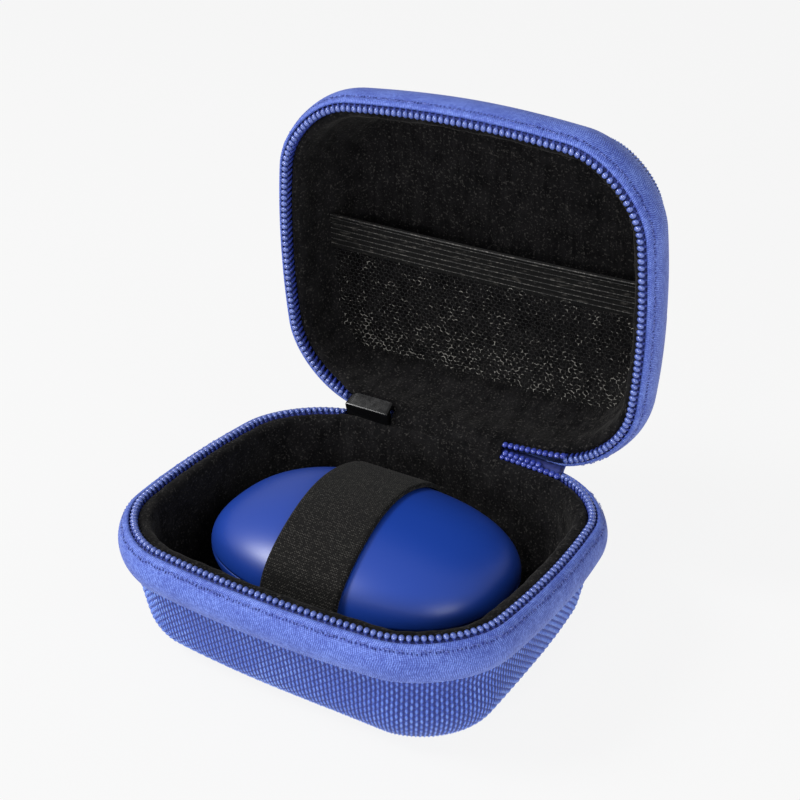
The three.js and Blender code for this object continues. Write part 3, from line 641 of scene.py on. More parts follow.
def coil(soup, place, s, slant, mats=(0, 1)):
    # heads take mats[0]; legs and back loops take mats[1], the darker painted-shade material
    for tab, mat, lean in ((HEAD, mats[0], 0.0), (LEG, mats[1], slant), (BACK, mats[1], -slant * 0.5)):
        m = len(tab)
        S = s[:, None] + np.linspace(-1.0, 0.0, m) * lean
        O, D = np.broadcast_to(tab[:, 0], S.shape), np.broadcast_to(tab[:, 1], S.shape)
        c = place(S, O, D)
        side = place(S + 0.05, O, D) - c
        side /= np.linalg.norm(side, axis=-1, keepdims=True)
        do, dd = np.gradient(tab[:, 0]), np.gradient(tab[:, 1])
        ln = np.hypot(do, dd)
        no, nd = dd / ln, -do / ln
        lift = place(S, O + 0.05 * no, D + 0.05 * nd) - c
        lift /= np.linalg.norm(lift, axis=-1, keepdims=True)
        tubes(soup, c, side, lift, tab[:, 2], tab[:, 3], 12 if mat == mats[0] else 8, mat)


def sweep_tube(soup, place, s, o, d, r, sides=8, mat=0):
    w = np.arange(sides) * 2 * math.pi / sides
    S, W = np.meshgrid(s, w, indexing="ij")
    P = place(S, o + r * np.cos(W), d + r * np.sin(W))
    soup.grid(P, False, True, None, mat)
    n0 = soup.n
    caps = np.stack([place(s[:1], np.array([o]), np.array([d]))[0], place(s[-1:], np.array([o]), np.array([d]))[0]])
    soup.add(caps, np.zeros((0, 3), int), None, mat)
    j = np.arange(sides)
    a = n0 - len(s) * sides
    f1 = np.stack([np.full(sides, n0), a + (j + 1) % sides, a + j], -1)
    b = n0 - sides
    f2 = np.stack([np.full(sides, n0 + 1), b + j, b + (j + 1) % sides], -1)
    f = np.concatenate([f1, f2])
    soup.f.append((f, np.zeros((len(f), 3, 2)), mat))


S_CORNER = np.argmax(_rx - _ry) * RIM_L / 7200


def swell(half, s, t):
    """The base bellies out a little low down at its front right corner."""
    if half == "lid":
        return 0.0 * s
    ds = (np.asarray(s, float) - S_CORNER + RIM_L / 2) % RIM_L - RIM_L / 2
    q = np.clip((np.asarray(t, float) - 3.0) / 9.0, 0, 1)
    return 2.2 * np.exp(-((ds / 20.0) ** 2)) * q * q * (3 - 2 * q)


def by_control(points, n):
    """A smooth line through points, sampled evenly in the points' own count, so that two such lines can be mixed."""
    p = np.asarray(points, float)
    ext = np.vstack([2 * p[0] - p[1], p, 2 * p[-1] - p[-2]])
    q = np.linspace(0, len(p) - 1, n)
    i = np.minimum(q.astype(int), len(p) - 2)
    t = (q - i)[:, None]
    a, b, c, d = ext[i], ext[i + 1], ext[i + 2], ext[i + 3]
    return 0.5 * ((2 * b) + (c - a) * t + (2 * a - 5 * b + 4 * c - d) * t * t + (3 * b - a - 3 * c + d) * t**3)


# depth of the lining's crest along the rear run, at x
LIP = {
    "base": ([-60, -36, -30, 12.5, 15.5, 28, 36, 60], [3.5, 3.5, 0.3, 0.3, 1.9, 2.0, 3.5, 3.5]),
    "lid": ([-60, -36, -30, 12.5, 15.5, 19, 23, 26, 33, 60], [3.5, 3.5, 0.3, 0.3, 1.9, 1.9, 0.7, 0.8, 3.5, 3.5]),
}

for half in ("base", "lid"):
    h, draft = (BASE_H, BASE_DRAFT) if half == "base" else (LID_H, LID_DRAFT)
    place = lambda s, o, d, half=half: put(half, s, o, d)
    wall, o_floor = wall_points(h, draft, 0, 9.3 if half == "base" else 11.0)
    prof = Profile(wall)

    # outer cover: a bowl of coarse nylon with real thickness
    n_s, n_t = 260, 26
    S = np.arange(n_s + 1) * RIM_L / n_s
    t = np.linspace(0, prof.length, n_t)
    o, d, no, nd = prof.at(t)
    soup = Soup()
    rings_o, rings_i, vv = [], [], []
    for k in range(n_t):
        sw = swell(half, S[:-1], t[k])
        rings_o.append(put(half, S[:-1], o[k] + sw, d[k]))
        rings_i.append(put(half, S[:-1], o[k] + sw - 0.6 * no[k], d[k] - 0.6 * nd[k]))
    for share in np.linspace(1, 0, 14)[1:-1]:
        for rings, depth in ((rings_o, h), (rings_i, h - 0.6)):
            x, y, nx, ny = rim(S[:-1])
            edge_o = o_floor + swell(half, S[:-1], prof.length)
            X, Y = (x + nx * edge_o) * share, (y + ny * edge_o) * share
            if half == "base":
                rings.append(np.stack([X, Y, np.full(n_s, PARTING - depth)], -1))
            else:
                rings.append(lid_point(X, Y - HINGE_Y, depth - UP))
    A, B = np.stack(rings_o, 1), np.stack(rings_i, 1)
    nv = A.shape[1]
    inward = np.arange(nv - n_t) + 1
    T = np.r_[t, prof.length + inward * 2.2]
    U = np.broadcast_to(S[:, None], (n_s + 1, nv))
    V = np.broadcast_to(T[None], (n_s + 1, nv))
    soup.shell(A, B, True, (U, V), 0, ends=(True, False))
    for ring, depth in ((A, h), (B, h - 0.6)):
        n0 = soup.n
        mid = np.array([[0, 0, PARTING - depth]]) if half == "base" else lid_point([0.0], -HINGE_Y, depth - UP)
        soup.add(mid, np.zeros((0, 3), int))
        i = np.arange(n_s)
        first = 0 if ring is A else n_s * nv
        f = np.stack([np.full(n_s, n0), first + ((i + 1) % n_s) * nv + nv - 1, first + i * nv + nv - 1], -1)
        soup.f.append((f, np.zeros((n_s, 3, 2)), 0))
    cover = soup.build(half + "_nylon_cover", [MAT["ground"]])
    finish_piece(cover, half, "weave", half + "_outer_cover")

    # the raised yarn floats of the nylon
    cols, pu, pv = COLS, PU, PV
    surf = lambda u, t, hh: (lambda o, d, no, nd: put(half, u, o + swell(half, u, t) + hh * no, d + hh * nd))(*prof.at(t))
    rows = int((prof.length - 0.2) / pv)
    I, J = np.meshgrid(np.arange(cols), np.arange(rows), indexing="ij")
    keep = (I + J) % 2 == 0
    cu, ct = I[keep] * pu, pv + J[keep] * pv
    k = len(cu)
    cu = cu + RNG.normal(0, 0.025, k)
    lean = RNG.normal(0, 0.04, k)
    soup = Soup()
    lenses(soup, surf, cu, ct, 0.37 + RNG.normal(0, 0.015, k), 0.76, 0.25 + RNG.normal(0, 0.012, k), 0, lean)
    other = (I + J) % 2 == 1
    k = int(other.sum())
    # the lower weft floats take the darker weft material, whose dark is painted shade
    lenses(soup, surf, I[other] * pu, pv + J[other] * pv, 0.50, 0.36, 0.12 + RNG.normal(0, 0.008, k), 1)
    if half == "lid":
        def flat(u, t, hh):
            return lid_point(u, t - HINGE_Y, LID_H - UP + hh)
        gx, gy = np.arange(-40, 41) * PU, np.arange(-46, 47) * PV
        I, J = np.meshgrid(np.arange(len(gx)), np.arange(len(gy)), indexing="ij")
        keep = (I + J) % 2 == 0
        X, Y = gx[I[keep]], gy[J[keep]]
        sx, sy, snx, sny = rim(np.arange(900) * RIM_L / 900)
        ex, ey = sx + snx * o_floor, sy + sny * o_floor
        dist = np.full(len(X), 1e9)
        inside = np.ones(len(X), bool)
        for a in range(0, 900):
            inside &= (X - ex[a]) * snx[a] + (Y - ey[a]) * sny[a] < 0.25
        X, Y = X[inside], Y[inside]
        k = len(X)
        lenses(soup, flat, X + RNG.normal(0, 0.02, k), Y, 0.37, 0.76, 0.25, 0)
    ob = soup.build(half + "_nylon_floats", [MAT["float"], MAT["weft"]])
    finish_piece(ob, half, "weave")

    # zip tape
    tp = Profile(TAPE[half])
    n_s, n_t = 1500, 24
    S = np.arange(n_s + 1) * RIM_L / n_s
    t = np.linspace(0, tp.length, n_t)
    o, d, no, nd = tp.at(t)
    SS, TT = np.meshgrid(S[:-1], t, indexing="ij")
    slant = SS + 0.30 * np.abs((TT + 0.4 + 2.3) % 4.6 - 2.3)
    fade = np.clip(np.minimum(TT, tp.length - TT - 1.2) / 0.8, 0, 1)
    ripple = 0.012 * np.sin(slant * 2 * math.pi / 1.0) * fade + 0.07 * np.sin(SS * 0.11 + 1.3) * fade
    stitch_dip = -0.16 * np.exp(-(((TT - STITCH_T - 0.2) / 0.4) ** 2))
    hh = ripple + stitch_dip
    A = put(half, SS, o + hh * no, d + hh * nd, gap=0.06)
    th = np.interp(t, [0, 0.6, tp.length - 1.6, tp.length], [0.35, 0.55, 0.7, 0.35])
    B = put(half, SS, o - th * no, d - th * nd, gap=0.06 + th)
    soup = Soup()
    U = np.broadcast_to(S[:, None], (n_s + 1, n_t))
    V = np.broadcast_to(t[None] * 12.0 / tp.length, (n_s + 1, n_t))
    soup.shell(A, B, True, (U, V), 0)
    ob = soup.build(half + "_tape", [MAT["tape"]])
    finish_piece(ob, half, "tape", half + "_zipper_tape")

    # sewn line on the tape: needle holes, small dark lenses of painted shade, and short pulled threads, none quite
    # alike
    soup = Soup()
    s_line = np.arange(0, RIM_L - 0.5, 0.82)
    xs, ys, _, _ = rim(s_line)
    s_line = s_line[~((ys > 20) & (xs > -36) & (xs < 33))]
    k = len(s_line)
    tape_surf = lambda u, t, hh: (lambda o, d, no, nd: put(half, u, o + hh * no, d + hh * nd))(*tp.at(t))
    hs = s_line + RNG.normal(0, 0.10, k)
    lenses(soup, tape_surf, hs, STITCH_T + 0.30 + RNG.normal(0, 0.12, k), 0.11 + 0.05 * RNG.random(k), 0.20 + 0.16 * RNG.random(k), 0.03, 1)
    live = RNG.random(k) < 0.62
    s0 = (s_line + 0.41 + RNG.normal(0, 0.12, k))[live]
    k = len(s0)
    t0 = STITCH_T + RNG.normal(0, 0.16, k)
    half_len = RNG.uniform(0.22, 0.5, k)
    tilt = RNG.normal(0.1, 0.5, k)
    q = np.linspace(-1, 1, 5)
    at = lambda du, dt, hh: tape_surf(s0[:, None] + half_len[:, None] * q + du, t0[:, None] + (tilt * half_len)[:, None] * q + dt, hh - 0.10 * q * q)
    c = at(0, 0, 0.06)
    side = at(0, 0.05, 0.06) - c
    side /= np.linalg.norm(side, axis=-1, keepdims=True)
    lift = at(0, 0, 0.11) - c
    lift /= np.linalg.norm(lift, axis=-1, keepdims=True)
    thick = RNG.uniform(0.07, 0.13, k)[:, None] * np.array([0.5, 1, 1.1, 1, 0.5])
    tubes(soup, c, side, lift, thick, thick, 6, 0)
    # loose loops along the folded lower edge
    s1 = np.arange(0, RIM_L - 0.5, 1.15)
    xs, ys, _, _ = rim(s1)
    s1 = s1[~((ys > 20) & (xs > -36) & (xs < 33))] 
    k = len(s1)
    s1 = s1 + RNG.normal(0, 0.15, k)
    lenses(soup, tape_surf, s1, tp.length - 1.15 + RNG.normal(0, 0.1, k), RNG.uniform(0.3, 0.5, k), 0.14, 0.09, 0, RNG.normal(0, 0.3, k))
    ob = soup.build(half + "_tape_stitches", [MAT["thread"], MAT["hole"]])
    finish_piece(ob, half, "tape")

    # coil and cord
    phase = 0.0 if half == "base" else 0.5
    s_teeth = S_LEFT + (np.arange(N_TEETH) + 0.25 + phase) * PITCH
    soup = Soup()
    coil(soup, place, s_teeth, 0.8 if half == "base" else -0.8, (0, 2))
    s_cord = np.linspace(S_LEFT - 0.3, S_LEFT + SPAN + 0.3, 420)
    sweep_tube(soup, place, s_cord, -0.48, 1.85, 0.66, 8, 1)
    ob = soup.build(half + "_coil", [MAT["teeth"], MAT["cord"], MAT["leg"]])
    finish_piece(ob, half, "teeth", half + "_zipper_teeth")

    # velour lining; its lip stands higher along the fabric hinge
    inner, o_in = wall_points(h, draft, T5, 14.0)
    tail = [(-4.75 - (draft - 0.2), 10.8), (-4.95 - 1.2 * (draft - 0.2), 12.0)] + [(a - 0.05, b) for a, b in inner]
    if half == "base":
        lip = [(-0.9, 3.6), (-1.35, 2.4), (-1.95, 1.45), (-3.0, 1.15), (-4.1, 1.5), (-4.85, 2.7), (-5.0, 4.9), (-4.8, 8.2)]
    else:
        lip = [(-0.9, 3.9), (-1.35, 3.2), (-2.0, 2.75), (-2.8, 2.9), (-3.5, 3.7), (-3.95, 5.2), (-4.1, 6.9), (-4.28, 8.9)]
    ease = 1.15 if half == "base" else 2.75
    high = [(-0.9, 3.95), (-1.9, 2.0), (-2.5, 0.7), (-3.1, 0.3), (-3.7, 0.75), (-4.15, 2.3), (-4.3, 5.2), (-4.4 - 0.4 * (draft - 0.2), 8.4)]
    n_s, n_t = 560, 64
    S = np.arange(n_s) * RIM_L / n_s
    low_p, high_p = Profile(lip + tail).p, Profile(high + tail).p
    j = np.linspace(0, len(low_p) - 1, n_t)
    pick = lambda p: np.stack([np.interp(j, np.arange(len(p)), p[:, c]) for c in (0, 1)], -1)
    low_p, high_p = by_control(lip + tail, n_t), by_control(high + tail, n_t)
    xs, ys, _, _ = rim(S)
    crest = np.interp(xs, LIP[half][0], LIP[half][1])
    g = np.where(ys > 0, (ease - np.minimum(crest, ease)) / (ease - 0.3), 0.0)
    for _ in range(3):
        g = (np.roll(g, 1) + g + np.roll(g, -1)) / 3
    G = g[:, None, None]
    OD = low_p[None] * (1 - G) + high_p[None] * G
    tan = np.gradient(OD, axis=1)
    tan /= np.linalg.norm(tan, axis=-1, keepdims=True)
    o, d, no, nd = OD[..., 0], OD[..., 1], tan[..., 1], -tan[..., 0]
    SS = np.broadcast_to(S[:, None], o.shape)
    TT = np.broadcast_to(np.linspace(0, 34, n_t)[None], o.shape)
    wob = 0.10 * np.sin(SS * 0.35 + 2 * np.sin(TT * 0.5)) * np.sin(TT * 0.8) + 0.06 * np.sin(SS * 1.1 + TT * 0.9)
    wob *= np.clip(TT / 4, 0, 1)
    A = put(half, SS, o - wob * no, d - wob * nd)
    B = put(half, SS, o + 0.6 * no, d + 0.6 * nd)
    o = o[0]
    floor_a, floor_b = [A], [B]
    x, y, nx, ny = rim(S)
    o_end = o[-1]
    depth_in = h - T5
    rings = np.linspace(1, 0, 26)[1:-1]
    for lst, depth in ((floor_a, depth_in), (floor_b, depth_in + 0.6)):
        R = []
        for share in rings:
            X, Y = (x + nx * o_end) * share, (y + ny * o_end) * share
            if half == "base":
                R.append(np.stack([X, Y, np.full(n_s, PARTING - depth)], -1))
            else:
                R.append(lid_point(X, Y - HINGE_Y, depth - UP))
        lst.append(np.stack(R, 1))
    A, B = np.concatenate(floor_a, 1), np.concatenate(floor_b, 1)
    nv = A.shape[1]
    soup = Soup()
    soup.shell(A, B, True, None, 0, ends=(True, False))
    for ring, depth in ((A, depth_in), (B, depth_in + 0.6)):
        n0 = soup.n
        mid = np.array([[0, 0, PARTING - depth]]) if half == "base" else lid_point([0.0], -HINGE_Y, depth - UP)
        soup.add(mid, np.zeros((0, 3), int))
        i = np.arange(n_s)
        first = 0 if ring is A else n_s * nv
        f = np.stack([np.full(n_s, n0), first + ((i + 1) % n_s) * nv + nv - 1, first + i * nv + nv - 1], -1)
        soup.f.append((f, np.zeros((n_s, 3, 2)), 0))
    ob = soup.build(half + "_velour", [MAT["velour"]])
    finish_piece(ob, half, "velour", half + "_lining")


# ------------------------------------------------------------------ the fabric hinge
def on_base(o, d, drop):
    return (o + (HALF_Y - HINGE_Y) - drop, -d - UP)


def on_lid(o, d, drop):
    v, w = o + (HALF_Y - HINGE_Y) - drop, d - UP
    return (v * CO + w * SO, -v * SO + w * CO)


def rear_drop(x):
    return HALF_Y - float(rim(rear_s(x))[1])


def hinge_strip(name, x0, x1, nx, section, thick, mat, uvscale=1.0, n=48, wobble=0.0):
    X = np.linspace(x0, x1, nx)
    A = np.zeros((nx, n, 3))
    B = np.zeros((nx, n, 3))
    T = None
    for i, x in enumerate(X):
        line, t, nrm = spline(section(x), n)
        bump = wobble * np.sin(x * 0.9 + 4 * t / t[-1]) * np.sin(math.pi * t / t[-1])
        line = line + nrm * bump[:, None]
        A[i] = np.stack([np.full(n, x), HINGE_Y + line[:, 0], HINGE_Z + line[:, 1]], -1)
        back = line + nrm * thick
        B[i] = np.stack([np.full(n, x), HINGE_Y + back[:, 0], HINGE_Z + back[:, 1]], -1)
        T = t
    soup = Soup()
    U, V = np.broadcast_to(X[:, None], (nx, n)), np.broadcast_to(T[None], (nx, n))
    soup.shell(A, B, False, (U, V), 0)
    return soup.build(name, [mat])


def saddle_section(x):
    p = rear_drop(x)
    side = [(-3.55, 4.2), (-3.5, 2.6), (-3.35, 1.1), (-3.0, 0.35)]
    return [on_base(o, d, p) for o, d in side] + [(-1.62 - 0.6 * p, 0.98 + 0.6 * p)] + [on_lid(o, d, p) for o, d in side[::-1]]


ob = hinge_strip("hinge_lining_saddle", NOTCH_X1 - 0.5, 14.2, 90, saddle_section, 0.6, MAT["velour"], wobble=0.08)
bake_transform(ob)
finish_piece(ob, None, "velour", "hinge_inner_lining")


def panel_section(x):
    p = rear_drop(x)
    return [on_base(o, d, p) for o, d in [(3.05, 9.0), (3.3, 7.2), (3.35, 5.6)]] + [(4.35 - 0.85 * p, -4.0 + 0.5 * p)] + [on_lid(o, d, p) for o, d in [(2.5, 5.4), (2.5, 7.0), (2.15, 9.0)]]


ob = hinge_strip("hinge_outer_tape", NOTCH_X1 + 0.6, 28.5, 150, panel_section, -0.5, MAT["tape"])
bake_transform(ob)
finish_piece(ob, None, "tape", "hinge_outer_panel")

# engaged end of the chain: two rows of heads held together on a folded tape
STUB0, STUB1 = 9.3, 29.6
soup = Soup()
n = int((STUB1 - STUB0) / 1.5)
xs = STUB0 + 0.7 + np.arange(n) * 1.5


def bead(cx, y, z, rx, ry, rz, mat):
    """An egg-shaped coil head."""
    u = np.linspace(0, math.pi, 8)
    k = len(cx)
    c = np.stack([cx[:, None] + 0 * u, (y[:, None] - ry * np.cos(u) * 1.0), z[:, None] + 0 * u], -1)
    rr = np.clip(np.sin(u), 0.05, 1)
    side = np.broadcast_to(np.array([1.0, 0, 0]), c.shape)
    lift = np.broadcast_to(np.array([0, 0, 1.0]), c.shape)
    tubes(soup, c, side, lift, rx * rr, rz * rr, 10, mat)


for row, (dx, oy, oz, r, x1) in enumerate([(0.0, -0.25, 1.12, 0.70, 30.0), (0.75, -0.85, 0.0, 0.68, 25.5), (0.0, -0.95, -1.12, 0.74, 30.0)]):
    cx = STUB0 + 0.7 + dx + np.arange(20) * 1.5
    cx = cx[(cx < x1) & (cx > 13.9)]
    dr = np.array([rear_drop(x) for x in cx])
    lift_ = 1.0 if row == 0 else 0.0
    bead(cx, HINGE_Y + oy - dr * (1 - lift_), HINGE_Z + oz + lift_ * dr, r, 0.95, r * 0.95, 0)
X = np.linspace(STUB0 + 0.1, STUB1, 60)
dr = np.array([rear_drop(x) for x in X])
sec = np.array([(-0.15, -3.2), (-0.55, -2.4), (-0.55, -0.2), (0.2, 0.25), (1.4, 0.25), (2.3, -0.1), (2.3, -0.7), (1.2, -0.85), (0.55, -1.1), (0.5, -3.2)])
P = np.stack([np.broadcast_to(X[:, None], (60, len(sec))), HINGE_Y + sec[None, :, 0] - dr[:, None] + 0.35, HINGE_Z - 0.3 + sec[None, :, 1] + 0 * dr[:, None]], -1)
n0 = soup.n
soup.grid(P, False, True, None, 1)
for i in (0, 59):
    ids = n0 + i * len(sec) + np.arange(len(sec))
    f = ids[None] if i else ids[::-1][None]
    soup.f.append((f, np.zeros((1, len(sec), 2)), 1))
ob = soup.build("chain_stub", [MAT["stub"], MAT["cord"]])
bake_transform(ob)
finish_piece(ob, None, "teeth", "chain_end_section")

# meshed chain behind the slider, seen once the slider has run on
soup = Soup()
for dx, oz in ((0.0, 1.02), (0.75, 0.0), (0.0, -1.02)):
    cx = -23.6 + dx + np.arange(6) * 1.5
    cx = cx[cx < -15.2]
    dr = np.array([rear_drop(x) for x in cx])
    u = np.linspace(0, math.pi, 8)
    c = np.stack([cx[:, None] + 0 * u, (HALF_Y - 0.45 - dr)[:, None] - 0.62 * np.cos(u), np.full((len(cx), 1), HINGE_Z - 0.35 + oz) + 0 * u], -1)
    rr = np.clip(np.sin(u), 0.05, 1)
    tubes(soup, c, np.broadcast_to(np.array([1.0, 0, 0]), c.shape), np.broadcast_to(np.array([0, 0, 1.0]), c.shape), 0.70 * rr, 0.66 * rr, 10, 0)
X = np.linspace(-24.0, -15.0, 24)
dr = np.array([rear_drop(x) for x in X])
sec = np.array([(-0.1, -1.9), (-0.1, 1.7), (0.5, 1.7), (0.5, -1.9)])
P = np.stack([np.broadcast_to(X[:, None], (24, 4)), HALF_Y + sec[None, :, 0] - dr[:, None], HINGE_Z - 0.35 + sec[None, :, 1] + 0 * dr[:, None]], -1)
n0 = soup.n
soup.grid(P, False, True, None, 1)
for i in (0, 23):
    ids = n0 + i * 4 + np.arange(4)
    soup.f.append((ids[None] if i else ids[::-1][None], np.zeros((1, 4, 2)), 1))
ob = soup.build("chain_behind_slider", [MAT["teeth"], MAT["cord"]])
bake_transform(ob)
finish_piece(ob, None, "teeth")

# ------------------------------------------------------------------ charging case
CASE = [v * 1000 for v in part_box("charging_case_upper_shell")]
LOW = [v * 1000 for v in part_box("charging_case_lower_shell")]
CX, CY = CASE[1].x - CASE[0].x, CASE[1].y - CASE[0].y
CMID = BASE_H - 11.7
CZ = 2 * (CASE[1].z - CMID)
PLAN_N, SIDE_N = 2.4, 2.1


def power(w, n):
    return np.sign(w) * np.abs(w) ** (2 / n)


def pebble(inset, around, up):
    c = power(np.cos(up), SIDE_N)
    return np.stack(
        [
            (CX / 2 - inset) * c * power(np.cos(around), PLAN_N),
            (CY / 2 - inset) * c * power(np.sin(around), PLAN_N),
            CMID + (CZ / 2 - inset) * power(np.sin(up), SIDE_N) + 0 * around,
        ],
        -1,
    )


for name, sign, lift in (("charging_case_top", 1, 0.07), ("charging_case_bottom", -1, -0.02)):
    N, Mr = 200, 60
    start = math.asin((abs(lift) / (CZ / 2)) ** (SIDE_N / 2)) * sign
    ups = start + (sign * math.pi / 2 - start) * np.linspace(0, 1, Mr) ** 1.0
    around = np.arange(N) * 2 * math.pi / N
    # even spacing round the plan curve
    fine = np.linspace(0, 2 * math.pi, 4001)
    q = np.stack([CX / 2 * power(np.cos(fine), PLAN_N), CY / 2 * power(np.sin(fine), PLAN_N)], -1)
    ln = np.r_[0, np.cumsum(np.hypot(*np.diff(q, axis=0).T))]
    around = np.interp(np.arange(N) / N * ln[-1], ln, fine)
    q = np.stack([power(np.cos(np.linspace(start, sign * math.pi / 2, 2001)), SIDE_N) * CX / 2, power(np.sin(np.linspace(start, sign * math.pi / 2, 2001)), SIDE_N) * CZ / 2], -1)
    ln = np.r_[0, np.cumsum(np.hypot(*np.diff(q, axis=0).T))]
    ups = np.interp(np.linspace(0, 1, Mr) * ln[-1], ln, np.linspace(start, sign * math.pi / 2, 2001))
    Aa, Uu = np.meshgrid(around, ups[:-1], indexing="ij")
    outer = pebble(0, Aa, Uu)
    edge = pebble(0.12, around[:, None], ups[None, :1])
    outer = np.concatenate([edge, outer], 1)
    outer[:, 1, 2] += sign * 0.05
    inner_ = pebble(1.6, np.broadcast_to(around[:, None], Aa.shape), Uu)
    inner_ = np.concatenate([pebble(1.6, around[:, None], ups[None, :1]), inner_], 1)
    soup = Soup()
    soup.shell(outer, inner_, True, None, 0, ends=(True, False))
    nv = outer.shape[1]
    for first, depth in ((0, 0), (N * nv, 1.6)):
        n0 = soup.n
        soup.add(np.array([[0, 0, CMID + sign * (CZ / 2 - depth)]]), np.zeros((0, 3), int))
        i = np.arange(N)
        f = np.stack([np.full(N, n0), first + ((i + 1) % N) * nv + nv - 1, first + i * nv + nv - 1], -1)
        soup.f.append((f, np.zeros((N, 3, 2)), 0))
    ob = soup.build(name, [MAT["plastic"]])
    finish_piece(ob, "charging_case", "case_plastic", "charging_case_upper_shell" if sign > 0 else "charging_case_lower_shell")

# ------------------------------------------------------------------ elastic strap
FLOOR = T5
clear = 0.28
ry, rz = CY / 2 + clear, CZ / 2 + clear
line = [(-27.5, FLOOR + 0.3), (-27.4, FLOOR + 4.5)]
for i in range(21):
    w = math.pi + 0.25 - (math.pi + 0.5) * i / 20
    line.append((ry * float(power(np.cos(w), SIDE_N)), CMID + rz * float(power(np.sin(w), SIDE_N))))
line += [(27.4, FLOOR + 4.5), (27.5, FLOOR + 0.3)]
path, plen, pn = spline(line, 380)
W = 19.5
nv = 105
across = np.linspace(-W / 2, W / 2, nv)
PL, AC = np.meshgrid(plen, across, indexing="ij")
rib = np.sin(AC * 2 * math.pi / 0.66)
loop = np.sin(PL * 2 * math.pi / 0.62 + 0.8 * rib)
edge = np.clip((W / 2 - np.abs(AC)) / 0.5, 0, 1)
rise = 1.0 * (0.55 + 0.45 * edge) + (0.035 * rib * loop + 0.02 * rib) * edge
bow = 0.0
qq = np.clip((path[:, 0] + 27.0) / 38.0, 0, 1)
skew = (-4.2 * qq * qq * (3 - 2 * qq))[:, None]
A = np.stack([AC + skew, path[:, None, 0] + pn[:, None, 0] * -rise, path[:, None, 1] + pn[:, None, 1] * -rise], -1)
B = np.stack([AC + skew, path[:, None, 0] + 0 * AC, path[:, None, 1] + 0 * AC], -1)
soup = Soup()
soup.shell(A, B, False, (PL, AC), 0)
ob = soup.build("elastic_strap_knit", [MAT["elastic"]])
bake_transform(ob)
finish_piece(ob, None, "elastic", "elastic_strap")

# bar tacks: a zigzag of thread at each end of the strap
for name, y in (("strap_front_bar_tack", -29.2), ("strap_rear_bar_tack", 29.2)):
    soup = Soup()
    k = 34
    xs = np.linspace(-8.2, 8.2, k)
    q = np.linspace(-1, 1, 5)
    c = np.stack([xs[:, None] + 0.24 * q, y + 0.06 * (1 - q**2) * np.sign(y) * -1 + 0 * xs[:, None], FLOOR + 2.2 + 0.8 * q * np.where(np.arange(k) % 2, 1, -1)[:, None]], -1)
    side = np.broadcast_to(np.array([1.0, 0, 0]), c.shape)
    lift = np.broadcast_to(np.array([0, 1.0, 0]), c.shape)
    tubes(soup, c, side, lift, 0.16, 0.13, 6, 0)
    ob = soup.build(name, [MAT["hem_line"]])
    finish_piece(ob, "base", "elastic", "strap_front_tack" if y < 0 else "strap_rear_tack")

# ------------------------------------------------------------------ net pocket in the lid
POCKET_Z = 13.0
Y_MOUTH = -HINGE_Y - 5.0
BAND_W = 8.5
Y_END = -HINGE_Y + 29.5


def half_at(y, inset):
    yy = y + HINGE_Y
    s = np.arange(1800) * RIM_L / 1800
    x, py, nx, ny = rim(s)
    qx, qy = x - 5.6 * nx, py - 5.6 * ny
    yy = np.atleast_1d(yy)
    out = []
    for v in yy:
        near = np.abs(qy - v) < 0.6
        out.append(qx[near].max() if near.any() else 0)
    return np.array(out) - inset


# elastic hem: ribbed band, drawn slightly in at its middle
nx_, ny_ = 340, 60
q = np.linspace(0, 1, ny_)
ys = Y_MOUTH + BAND_W * q
hw = half_at(ys, 0.2)
X = np.linspace(-1, 1, nx_)[:, None] * hw[None]
ribs = 0.0 * q
for k in range(6):
    mid = 0.10 + 0.155 * k
    for o_ in (-0.018, 0.018):
        ribs = ribs + 0.16 * np.exp(-(((q - mid - o_) / 0.011) ** 2))
ribs += 0.28 * np.exp(-(((q - 0.018) / 0.02) ** 2))
sag = 0.9 * (1 - (X / 41) ** 2) * (1 - q[None] * 0.5)
face = POCKET_Z - UP - 0.15 - ribs[None] - sag + 0.03 * np.sin(X * 12.6) * (ribs[None] > 0.05)
A = lid_point(X, np.broadcast_to(ys[None], X.shape), face)
B = lid_point(X, np.broadcast_to(ys[None], X.shape), POCKET_Z - UP + 0.75 - sag)
soup = Soup()
soup.shell(A, B, False, (X, np.broadcast_to(ys[None], X.shape)), 0)
# bright lines of the band's edge and between its ribs
for qq, r in [(0.012, 0.16)] + [(0.10 + 0.155 * k, 0.07) for k in range(6)]:
    y = Y_MOUTH + BAND_W * qq
    hw1 = float(half_at(np.array([y]), 0.35)[0])
    xs = np.linspace(-hw1, hw1, 160)
    sg = 0.9 * (1 - (xs / 41) ** 2) * (1 - qq * 0.5)
    c = lid_point(xs, y, POCKET_Z - UP - 0.22 - sg)[None]
    side = np.broadcast_to(lid_point(0.0, 1.0, 0.0) - lid_point(0.0, 0.0, 0.0), c.shape)
    lift = np.broadcast_to(lid_point(0.0, 0.0, 1.0) - lid_point(0.0, 0.0, 0.0), c.shape)
    tubes(soup, c, side, lift, r, r * 1.3, 6, 1)
ob = soup.build("pocket_elastic_hem", [MAT["hem"], MAT["hem_line"]])
finish_piece(ob, "lid", "elastic", "pocket_elastic_band")

